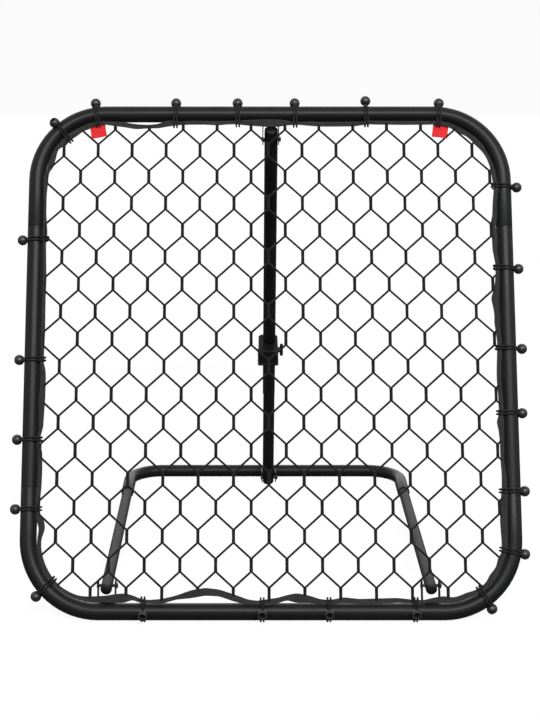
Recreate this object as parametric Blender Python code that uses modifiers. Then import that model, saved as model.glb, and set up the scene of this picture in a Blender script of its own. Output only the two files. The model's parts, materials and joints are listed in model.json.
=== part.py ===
"""Pitch back rebounder: a leaning tube frame with a hexagonal net, a hinged ground base and a strut.

Run with: blender --background --python part.py
Units are metres, +Z is up, +X is the user's right and -Y is where the user stands.

Three sets of axes are used, each held by an empty:
  frame: X across, Y up along the leaning frame, Z square to the net towards the user,
         from the middle of the bottom tube's centreline.
  base:  X across, Y back along the legs, Z up, from the hinge line under the frame.
  strut: X across, Y towards the user, Z down along the strut, from the top pivot.
"""

import math

import bmesh
import bpy
from mathutils import Matrix, Vector
from mathutils.geometry import convex_hull_2d

# Net frame
FRAME_WIDTH = 0.960  # over the side tubes
FRAME_HEIGHT = 1.012  # over the top and bottom tubes, measured along the lean
FRAME_LEAN = math.radians(26.0)  # back from upright, with the strut as shown
FRAME_TUBE_D = 0.032
FRAME_WALL = 0.0015
FRAME_BEND = 0.136  # corner radius at the tube's centreline
UPPER_JOINT = 0.748  # seams between bends and side tubes, above the bottom tube
LOWER_JOINT = 0.235
SPIGOT_LENGTH = 0.045

# Ground base
CROSSBAR_BACK = 0.750  # crossbar's centreline behind the bottom tube's
LEG_FROM_BEND = 0.022  # a leg's centreline, in from where the frame's corner bend starts
BASE_TUBE_D = 0.0255
BASE_WALL = 0.0012
BASE_BEND = 0.072
BASE_ARM = 0.162  # from the crossbar's centreline to the seam with the leg
LEG_INSERTION = 0.040
LEG_STUB = 0.017  # leg's tube beyond the hinge bolt
LEG_WALL = 0.0012

# Strut
STRUT_TUBE_D = 0.025
STRUT_WALL = 0.0012
STRUT_OFFSET = 0.027  # lower tube's centreline ahead of the upper one's
STRUT_TOP_STUB = 0.017  # upper tube beyond the top bolt
STRUT_FOOT_STUB = 0.0045  # lower tube beyond the foot bolt
STRUT_TAIL = 0.110  # upper tube below the clamp
CAP_DOME = 0.005
CAP_PLUG = 0.008
CAP_CROWN = 0.55  # shares of the cap's radius at its two round steps
CAP_SHOULDER = 0.87

# Clamp on the strut
CLAMP_FROM_TOP = 0.507  # its upper face, from the top pivot
CLAMP_WIDTH = 0.043
CLAMP_HEIGHT = 0.037
CLAMP_BACK_WALL = 0.0062
CLAMP_FRONT_WALL = 0.0032
CLAMP_BACK_ROUND = 0.0095
CLAMP_FRONT_ROUND = 0.003
CLAMP_ROOF = 0.008  # over the lower tube's end
CLAMP_LIP = 0.0015
CLAMP_LIP_HEIGHT = 0.004
CLAMP_PIN_D = 0.004
KNOB_DEPTH = 0.0275  # screw's centreline below the clamp's upper face
KNOB_BAR = 0.027
KNOB_BAR_D = 0.0062
KNOB_HUB_D = 0.011
KNOB_HUB_LENGTH = 0.008
KNOB_BOSS_D = 0.014
KNOB_BOSS_LENGTH = 0.003
KNOB_BOSS_ROOT = 0.004  # where the boss starts inside the block's wall, off the upper tube

# Brackets, bolts and nuts
BRACKET_INSIDE = 0.031
BRACKET_SHEET = 0.002
BRACKET_DEPTH = 0.024
BRACKET_REACH = 0.049  # pivot's distance from the tube's centreline, up or down the frame
BRACKET_BACK = 0.009  # pivot's distance behind the frame's middle plane
FOOT_REACH = 0.048  # foot pivot ahead of the crossbar's centreline
FOOT_SLOT = 0.0036  # how far the foot bolt slides in its slot as the frame is tilted
FOOT_SLOT_CLEARANCE = 0.0014
BOLT_D = 0.006
BOLT_HEAD_D = 0.015
BOLT_HEAD_HEIGHT = 0.0045
BOLT_END = 0.002
NUT_D = 0.0135  # over its corners
NUT_HEIGHT = 0.006

# Net, hem and tabs
NET_PITCH_X = 0.0676
NET_PITCH_Y = 0.05414
NET_KNOT = 0.025  # length of a mesh's upright side
NET_UPRIGHT = 0.0045  # width of the doubled upright cords
NET_CORD = 0.0025
NET_THICKNESS = 0.0022
NET_TOP_ROW = 0.9120  # upper knots of the highest whole row
NET_SPARE = 1  # rows and columns knotted past the hem before the net is cut
NET_ASIDE = -0.0055
NET_FRONT = 0.0172  # net's and hem's front faces, ahead of the frame's middle plane
HEM_THICKNESS = 0.0020
HEM_OUTSIDE = 0.006  # hem's outer edge, in from the tube's centreline
HEM_WIDTH = 0.016
TAB_WIDTH = 0.029
TAB_HEIGHT = 0.029
TAB_THICKNESS = 0.001
TAB_FROM_SIDE = 0.121  # in from the side tube's centreline
TAB_TURN = math.radians(7.0)

# Elastic loops with their balls
BALL_D = 0.018
LOOP_WIDTH = 0.0075
LOOP_THICKNESS = 0.003
LOOP_FROM_KINK = 0.006  # from a loop's middle to the end of a straight length of a bend

FIT_GAP = 0.0003
RUN_GAP = 0.0005
SIDES = 12
BEND_STEPS = 7

# Places of the loops: across the frame, up the frame, and beside the three laced corners
TOP_LOOPS = (-0.1875, -0.0651, 0.0513, 0.1917)
TOP_LOOP_LEFT = 0.020  # the outermost top loops, out from where the corner bends start
TOP_LOOP_RIGHT = 0.0081
RIGHT_LOOPS = (0.8346, 0.6655, 0.4955, 0.3764, 0.2275, 0.1128)
BOTTOM_LOOPS = (0.1099, -0.0175)
BOTTOM_LOOP_RIGHT = 0.0307  # the outer bottom loops, in from the legs' centrelines
BOTTOM_LOOP_LEFT = 0.0604
LEFT_LOOPS = (0.1930, 0.3280, 0.4823, 0.7280)
TOP_LEFT_LOOP = (-0.4186, 0.9454)
BOTTOM_RIGHT_LOOP = (0.4035, 0.0229)
BOTTOM_LEFT_LOOP = (-0.4291, 0.0450)

# Derived sizes. A round tube is a prism here, so its flats lie nearer its middle than its corners.
FLAT = math.cos(math.pi / SIDES)
FRAME_R = FRAME_TUBE_D / 2
BASE_R = BASE_TUBE_D / 2
STRUT_R = STRUT_TUBE_D / 2
BOLT_R = BOLT_D / 2
BALL_R = BALL_D / 2
LEG_R = BASE_R * FLAT - BASE_WALL - FIT_GAP
SPIGOT_R = FRAME_R * FLAT - FRAME_WALL - FIT_GAP
BOLT_HOLE_R = (BOLT_R + FIT_GAP) / FLAT
HALF_SPAN = FRAME_WIDTH / 2 - FRAME_R  # frame's middle plane to a side tube's centreline
RISE = FRAME_HEIGHT - FRAME_TUBE_D  # bottom tube's centreline to the top one's
BEND_START = HALF_SPAN - FRAME_BEND  # across the frame
LEG_ASIDE = BEND_START - LEG_FROM_BEND
TAB_ASIDE = HALF_SPAN - TAB_FROM_SIDE
LOOP_OUTSIDE = FRAME_R + FIT_GAP + LOOP_THICKNESS
BALL_OUT = FRAME_R + 2 * FIT_GAP + BALL_R
HEM_INSIDE = HEM_OUTSIDE + HEM_WIDTH
CLAMP_BACK = STRUT_R + FIT_GAP + CLAMP_BACK_WALL
CLAMP_FRONT = STRUT_OFFSET + STRUT_R + FIT_GAP + CLAMP_FRONT_WALL
CLAMP_BOTTOM = CLAMP_FROM_TOP + CLAMP_HEIGHT
EAR_OUTSIDE = BRACKET_INSIDE / 2 + BRACKET_SHEET

# Places in the upright plane through the middle, as (Y, Z) from under the bottom tube
FRAME_UP = Vector((math.sin(FRAME_LEAN), math.cos(FRAME_LEAN)))
FRAME_OUT = Vector((-math.cos(FRAME_LEAN), math.sin(FRAME_LEAN)))
BOTTOM_AXIS = Vector((0.0, LOOP_OUTSIDE))
HINGE = BOTTOM_AXIS + FRAME_UP * BRACKET_REACH - FRAME_OUT * BRACKET_BACK
TOP_PIVOT = BOTTOM_AXIS + FRAME_UP * (RISE - BRACKET_REACH) - FRAME_OUT * BRACKET_BACK
CROSSBAR = Vector((CROSSBAR_BACK, BASE_R * FLAT))
BASE_LENGTH = (CROSSBAR - HINGE).length
BASE_SLOPE = math.atan2(HINGE.y - CROSSBAR.y, CROSSBAR.x - HINGE.x)
FOOT_PIVOT = CROSSBAR + (HINGE - CROSSBAR).normalized() * FOOT_REACH
STRUT_LENGTH = math.sqrt((FOOT_PIVOT - TOP_PIVOT).length_squared - STRUT_OFFSET**2)
STRUT_TURN = (
    math.atan2(FOOT_PIVOT.y - TOP_PIVOT.y, FOOT_PIVOT.x - TOP_PIVOT.x)
    + math.atan2(STRUT_OFFSET, STRUT_LENGTH)
)
ORIGIN_BACK = (CROSSBAR_BACK + BASE_R * FLAT - BALL_OUT - BALL_R) / 2

for leftover in list(bpy.data.objects):
    bpy.data.objects.remove(leftover)

PARTS = bpy.data.collections.new("pitch_back_rebounder")
CUTTERS = bpy.data.collections.new("cutters")
for collection in (PARTS, CUTTERS):
    bpy.context.scene.collection.children.link(collection)


def make_material(name, colour, roughness, metallic=0.0):
    """Return a plain Principled material."""
    material = bpy.data.materials.new(name)
    material.use_nodes = True
    shader = material.node_tree.nodes["Principled BSDF"]
    shader.inputs["Base Color"].default_value = (*colour, 1.0)
    shader.inputs["Roughness"].default_value = roughness
    shader.inputs["Metallic"].default_value = metallic
    return material


POWDER_COAT = make_material("black_powder_coat", (0.035, 0.036, 0.038), 0.38)
MOULDING = make_material("black_moulding", (0.022, 0.022, 0.023), 0.55)
PLATING = make_material("black_plated_steel", (0.05, 0.05, 0.052), 0.35, 0.8)
NET_CORD_FINISH = make_material("net_cord", (0.055, 0.056, 0.058), 0.85)
WEBBING = make_material("hem_webbing", (0.13, 0.13, 0.13), 0.9)
ELASTIC = make_material("elastic_and_ball", (0.05, 0.05, 0.052), 0.45)
RED_FABRIC = make_material("red_tab_fabric", (0.80, 0.05, 0.06), 0.8)


def add_empty(name, parent, location, turn=0.0):
    """Add an axis empty, turned about X."""
    empty = bpy.data.objects.new(name, None)
    empty.parent = parent
    empty.location = location
    empty.rotation_euler = (turn, 0.0, 0.0)
    PARTS.objects.link(empty)
    return empty


def add_object(name, mesh, parent, material=None):
    """Link a mesh under an empty; without a material it is a cutter."""
    obj = bpy.data.objects.new(name, mesh)
    obj.parent = parent
    if material is None:
        CUTTERS.objects.link(obj)
        obj.hide_render = True
        obj.display_type = "WIRE"
    else:
        PARTS.objects.link(obj)
        mesh.materials.append(material)
    return obj


def mesh_of(obj):
    """Return a closed mesh of an object as its modifiers leave it, and remove object and cutters."""
    bpy.context.view_layer.update()
    depsgraph = bpy.context.evaluated_depsgraph_get()
    mesh = bpy.data.meshes.new_from_object(obj.evaluated_get(depsgraph))
    mesh.materials.clear()
    for used in [step.object for step in obj.modifiers if step.type == "BOOLEAN"]:
        bpy.data.objects.remove(used)
    bpy.data.objects.remove(obj)
    shape = bmesh.new()
    shape.from_mesh(mesh)
    bmesh.ops.remove_doubles(shape, verts=shape.verts, dist=1e-6)
    shape.to_mesh(mesh)
    shape.free()
    return mesh


def smooth(mesh):
    """Shade round faces smooth and keep sharp edges."""
    mesh.shade_smooth()
    mesh.set_sharp_from_angle(angle=math.radians(35.0))


def curve_mesh(name, lines, cyclic, flat_half=None, radius=None, tilt=0.0):
    """Return the mesh of a curve through lists of points: a flat plate, or an open round tube."""
    curve = bpy.data.curves.new(name, "CURVE")
    curve.dimensions = "3D" if flat_half is None else "2D"
    for points in lines:
        spline = curve.splines.new("POLY")
        spline.points.add(len(points[1:]))
        for knot, point in zip(spline.points, points):
            knot.co = (*point, *(0.0,) * (3 - len(point)), 1.0)
            knot.tilt = tilt
        spline.use_cyclic_u = cyclic
    if flat_half is None:
        curve.bevel_depth = radius
        curve.bevel_resolution = SIDES // 2 - 2
    else:
        curve.fill_mode = "BOTH"
        curve.extrude = flat_half
    obj = bpy.data.objects.new(name, curve)
    PARTS.objects.link(obj)
    return mesh_of(obj)


def turned_mesh(name, profile):
    """Return a turned mesh from (radius, height) points that run down its outer side."""
    mesh = bpy.data.meshes.new(name)
    points = [(radius, 0.0, height) for radius, height in profile]
    mesh.from_pydata(points, [(i, i + 1) for i in range(len(points) - 1)], [])
    obj = bpy.data.objects.new(name, mesh)
    PARTS.objects.link(obj)
    screw = obj.modifiers.new("turn", "SCREW")
    screw.axis = "Z"
    screw.steps = screw.render_steps = SIDES
    screw.use_merge_vertices = True
    screw.merge_threshold = 1e-6
    return mesh_of(obj)


def box_mesh(name, low, high):
    """Return a box between two corners."""
    mesh = bpy.data.meshes.new(name)
    shape = bmesh.new()
    middle = (Vector(low) + Vector(high)) / 2
    size = Vector(high) - Vector(low)
    place = Matrix.Translation(middle) @ Matrix.Diagonal((*size, 1.0))
    bmesh.ops.create_cube(shape, size=1.0, matrix=place)
    shape.to_mesh(mesh)
    shape.free()
    return mesh


def rod_mesh(name, radius, start, end, axis, sides=SIDES):
    """Return a round rod from start to end along a named axis."""
    turn = {"X": Matrix.Rotation(math.pi / 2, 4, "Y"), "Y": Matrix.Rotation(-math.pi / 2, 4, "X")}
    mesh = bpy.data.meshes.new(name)
    shape = bmesh.new()
    place = turn.get(axis, Matrix()) @ Matrix.Translation((0.0, 0.0, (start + end) / 2))
    bmesh.ops.create_cone(
        shape, cap_ends=True, segments=sides, radius1=radius, radius2=radius, depth=end - start, matrix=place
    )
    shape.to_mesh(mesh)
    shape.free()
    return mesh


def moved(mesh, x=0.0, y=0.0, z=0.0):
    """Shift a mesh and return it."""
    mesh.transform(Matrix.Translation((x, y, z)))
    return mesh


def boolean(obj, tool_mesh, operation):
    """Cut, join or trim an object with a mesh that is given in the same axes."""
    tool = add_object(obj.name + "_" + operation.lower(), tool_mesh, obj.parent)
    modifier = obj.modifiers.new(operation.lower(), "BOOLEAN")
    modifier.operation = operation
    modifier.object = tool


def arc(centre, radius, start, end, steps=BEND_STEPS):
    """Return points along an arc, from one angle to another."""
    angles = [start + (end - start) * i / steps for i in range(steps + 1)]
    return [(centre[0] + radius * math.cos(a), centre[1] + radius * math.sin(a)) for a in angles]


def rounded_rectangle(low, high, radius, steps=BEND_STEPS):
    """Return the outline of a rectangle with round corners."""
    quarter = math.pi / 2
    points = []
    points += arc((high[0] - radius, high[1] - radius), radius, 0.0, quarter, steps)
    points += arc((low[0] + radius, high[1] - radius), radius, quarter, 2 * quarter, steps)
    points += arc((low[0] + radius, low[1] + radius), radius, 2 * quarter, 3 * quarter, steps)
    points += arc((high[0] - radius, low[1] + radius), radius, 3 * quarter, 4 * quarter, steps)
    return points


def frame_outline(inset):
    """Return the frame's outline at a distance inside the tubes' centreline."""
    low = (-HALF_SPAN + inset, inset)
    high = (HALF_SPAN - inset, RISE - inset)
    return rounded_rectangle(low, high, FRAME_BEND - inset)


def bent_tube(name, points, outside, wall, parent, tilt):
    """Make a bent tube with open ends."""
    mesh = curve_mesh(name, [points], False, radius=outside, tilt=tilt)
    smooth(mesh)
    obj = add_object(name, mesh, parent, POWDER_COAT)
    solid = obj.modifiers.new("wall", "SOLIDIFY")
    solid.thickness = wall
    solid.offset = -1.0
    solid.use_even_offset = True
    return obj


def straight_tube(name, outside, wall, start, end, parent):
    """Make a straight tube along Z with open ends."""
    bore = outside - wall
    profile = [(bore, end), (outside, end), (outside, start), (bore, start), (bore, end)]
    mesh = turned_mesh(name, profile)
    mesh.transform(Matrix.Rotation(math.pi / SIDES, 4, "Z"))
    smooth(mesh)
    return add_object(name, mesh, parent, POWDER_COAT)


def end_cap(name, outside, wall, parent, place, facing, plug=CAP_PLUG):
    """Make a domed plug for a tube's end; facing is +1 where the dome points along Z."""
    plug_r = (outside - wall) * FLAT - FIT_GAP
    base = FIT_GAP
    profile = [
        (0.0, base + CAP_DOME),
        (outside * CAP_CROWN, base + CAP_DOME * 0.86),
        (outside * CAP_SHOULDER, base + CAP_DOME * 0.5),
        (outside, base),
        (plug_r, base),
        (plug_r, -plug),
        (0.0, -plug),
    ]
    mesh = turned_mesh(name, profile)
    if facing < 0:
        mesh.transform(Matrix.Rotation(math.pi, 4, "X"))
    mesh.transform(Matrix.Rotation(math.pi / SIDES, 4, "Z"))
    smooth(mesh)
    return add_object(name, place(mesh), parent, MOULDING)


def along_y(mesh):
    """Turn a mesh made along Z so that it runs along Y."""
    mesh.transform(Matrix.Rotation(-math.pi / 2, 4, "X"))
    return mesh


def build_frame(frame):
    """Make the two bends and the two side tubes of the net frame."""
    quarter = math.pi / 2
    corner = BEND_START
    flats = math.pi / SIDES
    top = [(HALF_SPAN, UPPER_JOINT)]
    top += arc((corner, RISE - FRAME_BEND), FRAME_BEND, 0.0, quarter)
    top += arc((-corner, RISE - FRAME_BEND), FRAME_BEND, quarter, 2 * quarter)
    top += [(-HALF_SPAN, UPPER_JOINT)]
    bent_tube("frame_top_bend", top, FRAME_R, FRAME_WALL, frame, flats)
    bottom = [(-HALF_SPAN, LOWER_JOINT)]
    bottom += arc((-corner, FRAME_BEND), FRAME_BEND, 2 * quarter, 3 * quarter)
    bottom += arc((corner, FRAME_BEND), FRAME_BEND, 3 * quarter, 4 * quarter)
    bottom += [(HALF_SPAN, LOWER_JOINT)]
    bent_tube("frame_bottom_bend", bottom, FRAME_R, FRAME_WALL, frame, flats)

    half = (UPPER_JOINT - LOWER_JOINT) / 2 - FIT_GAP
    bore = SPIGOT_R - FRAME_WALL
    profile = [
        (bore, half + SPIGOT_LENGTH),
        (SPIGOT_R, half + SPIGOT_LENGTH),
        (SPIGOT_R, half),
        (FRAME_R, half),
        (FRAME_R, -half),
        (SPIGOT_R, -half),
        (SPIGOT_R, -half - SPIGOT_LENGTH),
        (bore, -half - SPIGOT_LENGTH),
        (bore, half + SPIGOT_LENGTH),
    ]
    for side, name in ((-1, "frame_side_left"), (1, "frame_side_right")):
        mesh = turned_mesh(name, profile)
        mesh.transform(Matrix.Rotation(math.pi / SIDES, 4, "Z"))
        along_y(mesh)
        smooth(mesh)
        moved(mesh, x=side * HALF_SPAN, y=(UPPER_JOINT + LOWER_JOINT) / 2)
        add_object(name, mesh, frame, POWDER_COAT)


def bracket(name, parent, tube_r, reach, place, hole_r, slot=0.0):
    """Make a U bracket; its tube's centreline is at the origin and its pivot at -Z by reach.

    place moves the finished mesh to the tube. A slot lengthens the bolt hole towards the tube.
    """
    web = -tube_r - FIT_GAP
    nose = BRACKET_DEPTH / 2
    outline = [(-nose, web), (-nose, -reach)]
    outline += arc((0.0, -reach), nose, math.pi, 2 * math.pi, 6)[1:-1]
    outline += [(nose, -reach), (nose, web)]
    mesh = curve_mesh(name, [outline], True, flat_half=EAR_OUTSIDE)
    # The outline's X and Y become Y and Z, and its thickness runs along X.
    stand = Matrix(((0, 0, 1, 0), (1, 0, 0, 0), (0, 1, 0, 0), (0, 0, 0, 1)))
    mesh.transform(place @ stand)
    obj = add_object(name, mesh, parent, POWDER_COAT)
    low = (-BRACKET_INSIDE / 2, -2 * nose, -reach - 2 * nose)
    high = (BRACKET_INSIDE / 2, 2 * nose, web - BRACKET_SHEET)
    channel = box_mesh("channel", low, high)
    channel.transform(place)
    boolean(obj, channel, "DIFFERENCE")
    for depth in sorted({-reach, -reach + slot}):
        hole = rod_mesh("hole", hole_r, -2 * EAR_OUTSIDE, 2 * EAR_OUTSIDE, "X")
        hole.transform(Matrix.Rotation(math.pi / SIDES, 4, "X"))
        hole.transform(place @ Matrix.Translation((0.0, 0.0, depth)))
        boolean(obj, hole, "DIFFERENCE")
    return obj


def bolt_and_nut(bolt_name, nut_name, parent, x=0.0, y=0.0, z=0.0):
    """Make a domed bolt across two ears with its nut, head on the left."""
    seat = EAR_OUTSIDE + FIT_GAP
    nut_end = seat + NUT_HEIGHT
    head_r = BOLT_HEAD_D / 2
    profile = [
        (0.0, seat + BOLT_HEAD_HEIGHT),
        (head_r * 0.6, seat + BOLT_HEAD_HEIGHT * 0.85),
        (head_r, seat + BOLT_HEAD_HEIGHT * 0.3),
        (head_r, seat),
        (BOLT_R, seat),
        (BOLT_R, -nut_end - BOLT_END),
        (0.0, -nut_end - BOLT_END),
    ]
    bolt = turned_mesh(bolt_name, profile)
    bolt.transform(Matrix.Rotation(-math.pi / 2, 4, "Y") @ Matrix.Rotation(math.pi / SIDES, 4, "Z"))
    smooth(bolt)
    add_object(bolt_name, moved(bolt, x, y, z), parent, PLATING)
    nut = rod_mesh(nut_name, NUT_D / 2, seat, nut_end, "X", sides=6)
    obj = add_object(nut_name, moved(nut, x, y, z), parent, PLATING)
    bore = rod_mesh("bore", BOLT_HOLE_R, 0.0, 2 * nut_end, "X")
    bore.transform(Matrix.Rotation(math.pi / SIDES, 4, "X"))
    boolean(obj, moved(bore, x, y, z), "DIFFERENCE")


def cross_hole(obj, radius, x, y, z):
    """Drill a hole across an object, along X."""
    drill = rod_mesh("drill", radius, -0.05, 0.05, "X")
    drill.transform(Matrix.Rotation(math.pi / SIDES, 4, "X"))
    boolean(obj, moved(drill, x, y, z), "DIFFERENCE")


def build_frame_brackets(frame):
    """Weld the hinge brackets on the bottom tube and the strut's bracket under the top tube."""
    # Bracket axes: X across, Z away from the pivot; on the bottom tube the pivot is up the frame.
    to_bottom = Matrix.Translation((0.0, 0.0, -BRACKET_BACK)) @ Matrix.Rotation(math.pi / 2, 4, "X")
    to_top = (
        Matrix.Translation((0.0, RISE, -BRACKET_BACK))
        @ Matrix.Rotation(math.pi, 4, "Z")
        @ Matrix.Rotation(math.pi / 2, 4, "X")
    )
    for side, word in ((-1, "left"), (1, "right")):
        place = Matrix.Translation((side * LEG_ASIDE, 0.0, 0.0)) @ to_bottom
        bracket("hinge_bracket_" + word, frame, FRAME_R, BRACKET_REACH, place, BOLT_HOLE_R)
        pivot = (side * LEG_ASIDE, BRACKET_REACH, -BRACKET_BACK)
        bolt_and_nut("hinge_bolt_" + word, "hinge_nut_" + word, frame, *pivot)
    bracket("strut_bracket", frame, FRAME_R, BRACKET_REACH, to_top, BOLT_HOLE_R)
    bolt_and_nut("strut_top_bolt", "strut_top_nut", frame, 0.0, RISE - BRACKET_REACH, -BRACKET_BACK)


def mesh_opening(middle):
    """Return the outline of one opening of the net round its middle."""
    half_x = NET_PITCH_X / 2
    point = NET_PITCH_Y - NET_KNOT / 2
    rise = NET_PITCH_Y - NET_KNOT
    steep = rise / half_x
    inset = NET_CORD / 2 * math.hypot(1.0, steep)
    side = half_x - NET_UPRIGHT / 2
    shoulder = point - inset - steep * side
    corners = [(0, point - inset), (-side, shoulder), (-side, -shoulder)]
    corners += [(0, inset - point), (side, -shoulder), (side, shoulder)]
    return [(middle[0] + x, middle[1] + y) for x, y in corners]


def largest_piece(mesh):
    """Remove every loose bit of a mesh but the largest."""
    shape = bmesh.new()
    shape.from_mesh(mesh)
    left = set(shape.verts)
    pieces = []
    while left:
        piece = set()
        border = [left.pop()]
        while border:
            vert = border.pop()
            piece.add(vert)
            for edge in vert.link_edges:
                other = edge.other_vert(vert)
                if other in left:
                    left.remove(other)
                    border.append(other)
        pieces.append(piece)
    pieces.sort(key=len)
    for piece in pieces[:-1]:
        bmesh.ops.delete(shape, geom=list(piece), context="VERTS")
    shape.to_mesh(mesh)
    shape.free()
    return mesh


def build_net(frame):
    """Make the hexagonal net and the webbing hem round it."""
    columns = math.ceil(HALF_SPAN / NET_PITCH_X) + NET_SPARE
    rows = math.ceil(RISE / NET_PITCH_Y) + NET_SPARE
    edge_x = (columns + 1) * NET_PITCH_X
    first_row = NET_TOP_ROW + 2 * NET_PITCH_Y - NET_KNOT / 2
    outline = [
        (-edge_x, first_row + NET_PITCH_Y),
        (-edge_x, first_row - (rows + 2) * NET_PITCH_Y),
        (edge_x, first_row - (rows + 2) * NET_PITCH_Y),
        (edge_x, first_row + NET_PITCH_Y),
    ]
    openings = []
    for row in range(rows + 2):
        # Openings lie half a pitch beside the row's upright cords.
        aside = NET_ASIDE + (row % 2 + 1) * NET_PITCH_X / 2
        for column in range(-columns, columns):
            middle = (aside + column * NET_PITCH_X, first_row - row * NET_PITCH_Y)
            beside = abs(middle[0]) - NET_PITCH_X / 2 > HALF_SPAN - HEM_INSIDE
            beyond = abs(middle[1] - RISE / 2) - NET_PITCH_Y > RISE / 2 - HEM_INSIDE
            if not beside and not beyond:
                openings.append(mesh_opening(middle))
    lattice = curve_mesh("lattice", [outline, *openings], True, flat_half=NET_THICKNESS / 2)
    moved(lattice, z=NET_FRONT - NET_THICKNESS / 2)
    net = add_object("net_uncut", lattice, frame, NET_CORD_FINISH)
    edge = curve_mesh("net_edge", [frame_outline(HEM_INSIDE + FIT_GAP)], True, flat_half=NET_THICKNESS)
    boolean(net, moved(edge, z=NET_FRONT - NET_THICKNESS / 2), "INTERSECT")
    add_object("net", largest_piece(mesh_of(net)), frame, NET_CORD_FINISH)

    loops = [frame_outline(HEM_OUTSIDE), frame_outline(HEM_INSIDE)]
    hem = curve_mesh("net_hem", loops, True, flat_half=HEM_THICKNESS / 2)
    moved(hem, z=NET_FRONT - HEM_THICKNESS / 2)
    add_object("net_hem", hem, frame, WEBBING)


def build_tabs(frame):
    """Hang the two red tabs from the hem, over the elastic loops."""
    behind = NET_FRONT + FIT_GAP + LOOP_THICKNESS + FIT_GAP
    upper = RISE - HEM_OUTSIDE - HEM_WIDTH * 0.8
    for side, name in ((-1, "red_tab_left"), (1, "red_tab_right")):
        low = (-TAB_WIDTH / 2, -TAB_HEIGHT, behind)
        high = (TAB_WIDTH / 2, 0.0, behind + TAB_THICKNESS)
        mesh = box_mesh(name, low, high)
        mesh.transform(Matrix.Rotation(-side * TAB_TURN, 4, "Z"))
        add_object(name, moved(mesh, x=side * TAB_ASIDE, y=upper), frame, RED_FABRIC)


def loop_outline(clearance, round_ends, facet):
    """Return the taut outline round the tube and the hem, this far off them.

    Its X points away from the net and its Y towards the user. facet is the angle of one flat.
    """
    step = 2 * math.pi / SIDES
    radius = (FRAME_R + clearance) / FLAT
    points = [
        Vector((radius * math.cos(facet + (i + 0.5) * step), radius * math.sin(facet + (i + 0.5) * step)))
        for i in range(SIDES)
    ]
    back = NET_FRONT - HEM_THICKNESS
    for y, sign in ((back, -1), (NET_FRONT, 1)):
        corner = Vector((-HEM_INSIDE, y))
        if round_ends:
            for angle in (math.pi, math.pi + sign * -math.pi / 4, math.pi + sign * -math.pi / 2):
                points.append(corner + clearance * Vector((math.cos(angle), math.sin(angle))))
        else:
            points.append(corner + Vector((-clearance, sign * clearance)))
    points.append(Vector((-HEM_OUTSIDE, NET_FRONT + clearance)))
    return [tuple(points[i]) for i in convex_hull_2d(points)]


def loop_mesh(ball_angle):
    """Return one elastic loop fused with its ball, in axes X outwards, Y front, Z along the tube."""
    outside = loop_outline(FIT_GAP + LOOP_THICKNESS, True, ball_angle)
    inside = loop_outline(FIT_GAP, False, ball_angle)
    band = curve_mesh("band", [outside, inside], True, flat_half=LOOP_WIDTH / 2)
    obj = add_object("loop", band, None, ELASTIC)
    ball = bpy.data.meshes.new("ball")
    shape = bmesh.new()
    bmesh.ops.create_uvsphere(shape, u_segments=8, v_segments=6, radius=BALL_R)
    shape.to_mesh(ball)
    shape.free()
    ball.transform(
        Matrix.Rotation(ball_angle, 4, "Z") @ Matrix.Translation((BALL_OUT, 0.0, 0.0))
    )
    boolean(obj, ball, "UNION")
    mesh = mesh_of(obj)
    smooth(mesh)
    mesh.materials.append(ELASTIC)
    return mesh


def loop_place(x, y):
    """Return where a loop beside this point crosses the frame's centreline, and its outward angle.

    Round a corner the tube is a row of short straight lengths, and a loop lies square to one.
    """
    core_x = max(FRAME_BEND - HALF_SPAN, min(x, HALF_SPAN - FRAME_BEND))
    core_y = max(FRAME_BEND, min(y, RISE - FRAME_BEND))
    angle = math.atan2(y - core_y, x - core_x)
    outwards = angle
    reach = FRAME_BEND
    if core_x != x and core_y != y:
        step = math.pi / 2 / BEND_STEPS
        outwards = (math.floor(angle / step) + 0.5) * step
        middle = FRAME_BEND * math.cos(step / 2)
        limit = math.atan2(FRAME_BEND * math.sin(step / 2) - LOOP_FROM_KINK, middle)
        angle = outwards + max(-limit, min(angle - outwards, limit))
        reach = middle / math.cos(angle - outwards)
    return core_x + reach * math.cos(angle), core_y + reach * math.sin(angle), outwards


def build_loops(frame):
    """Tie the net to the frame with elastic loops, numbered clockwise from the top left."""
    hanging = loop_mesh(0.0)
    # Under the bottom tube the ball lies in front, level with the tube.
    standing = loop_mesh(math.pi / 2 - FRAME_LEAN)
    top = (-BEND_START - TOP_LOOP_LEFT, *TOP_LOOPS, BEND_START + TOP_LOOP_RIGHT)
    bottom = (LEG_ASIDE - BOTTOM_LOOP_RIGHT, *BOTTOM_LOOPS, BOTTOM_LOOP_LEFT - LEG_ASIDE)
    places = [(x, RISE, hanging) for x in top]
    places += [(HALF_SPAN, y, hanging) for y in RIGHT_LOOPS]
    places += [(*BOTTOM_RIGHT_LOOP, hanging)]
    places += [(x, 0.0, standing) for x in bottom]
    places += [(*BOTTOM_LEFT_LOOP, hanging)]
    places += [(-HALF_SPAN, y, hanging) for y in LEFT_LOOPS]
    places += [(*TOP_LEFT_LOOP, hanging)]
    for number, (beside_x, beside_y, mesh) in enumerate(places, 1):
        x, y, outwards = loop_place(beside_x, beside_y)
        obj = bpy.data.objects.new(f"elastic_loop_{number:02d}", mesh)
        obj.parent = frame
        obj.location = (x, y, 0.0)
        # Mesh X points outwards in the frame's plane and mesh Y to the front.
        turn = Matrix.Rotation(outwards, 3, "Z") @ Matrix.Rotation(math.pi / 2, 3, "X")
        obj.rotation_euler = turn.to_euler()
        PARTS.objects.link(obj)


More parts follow.
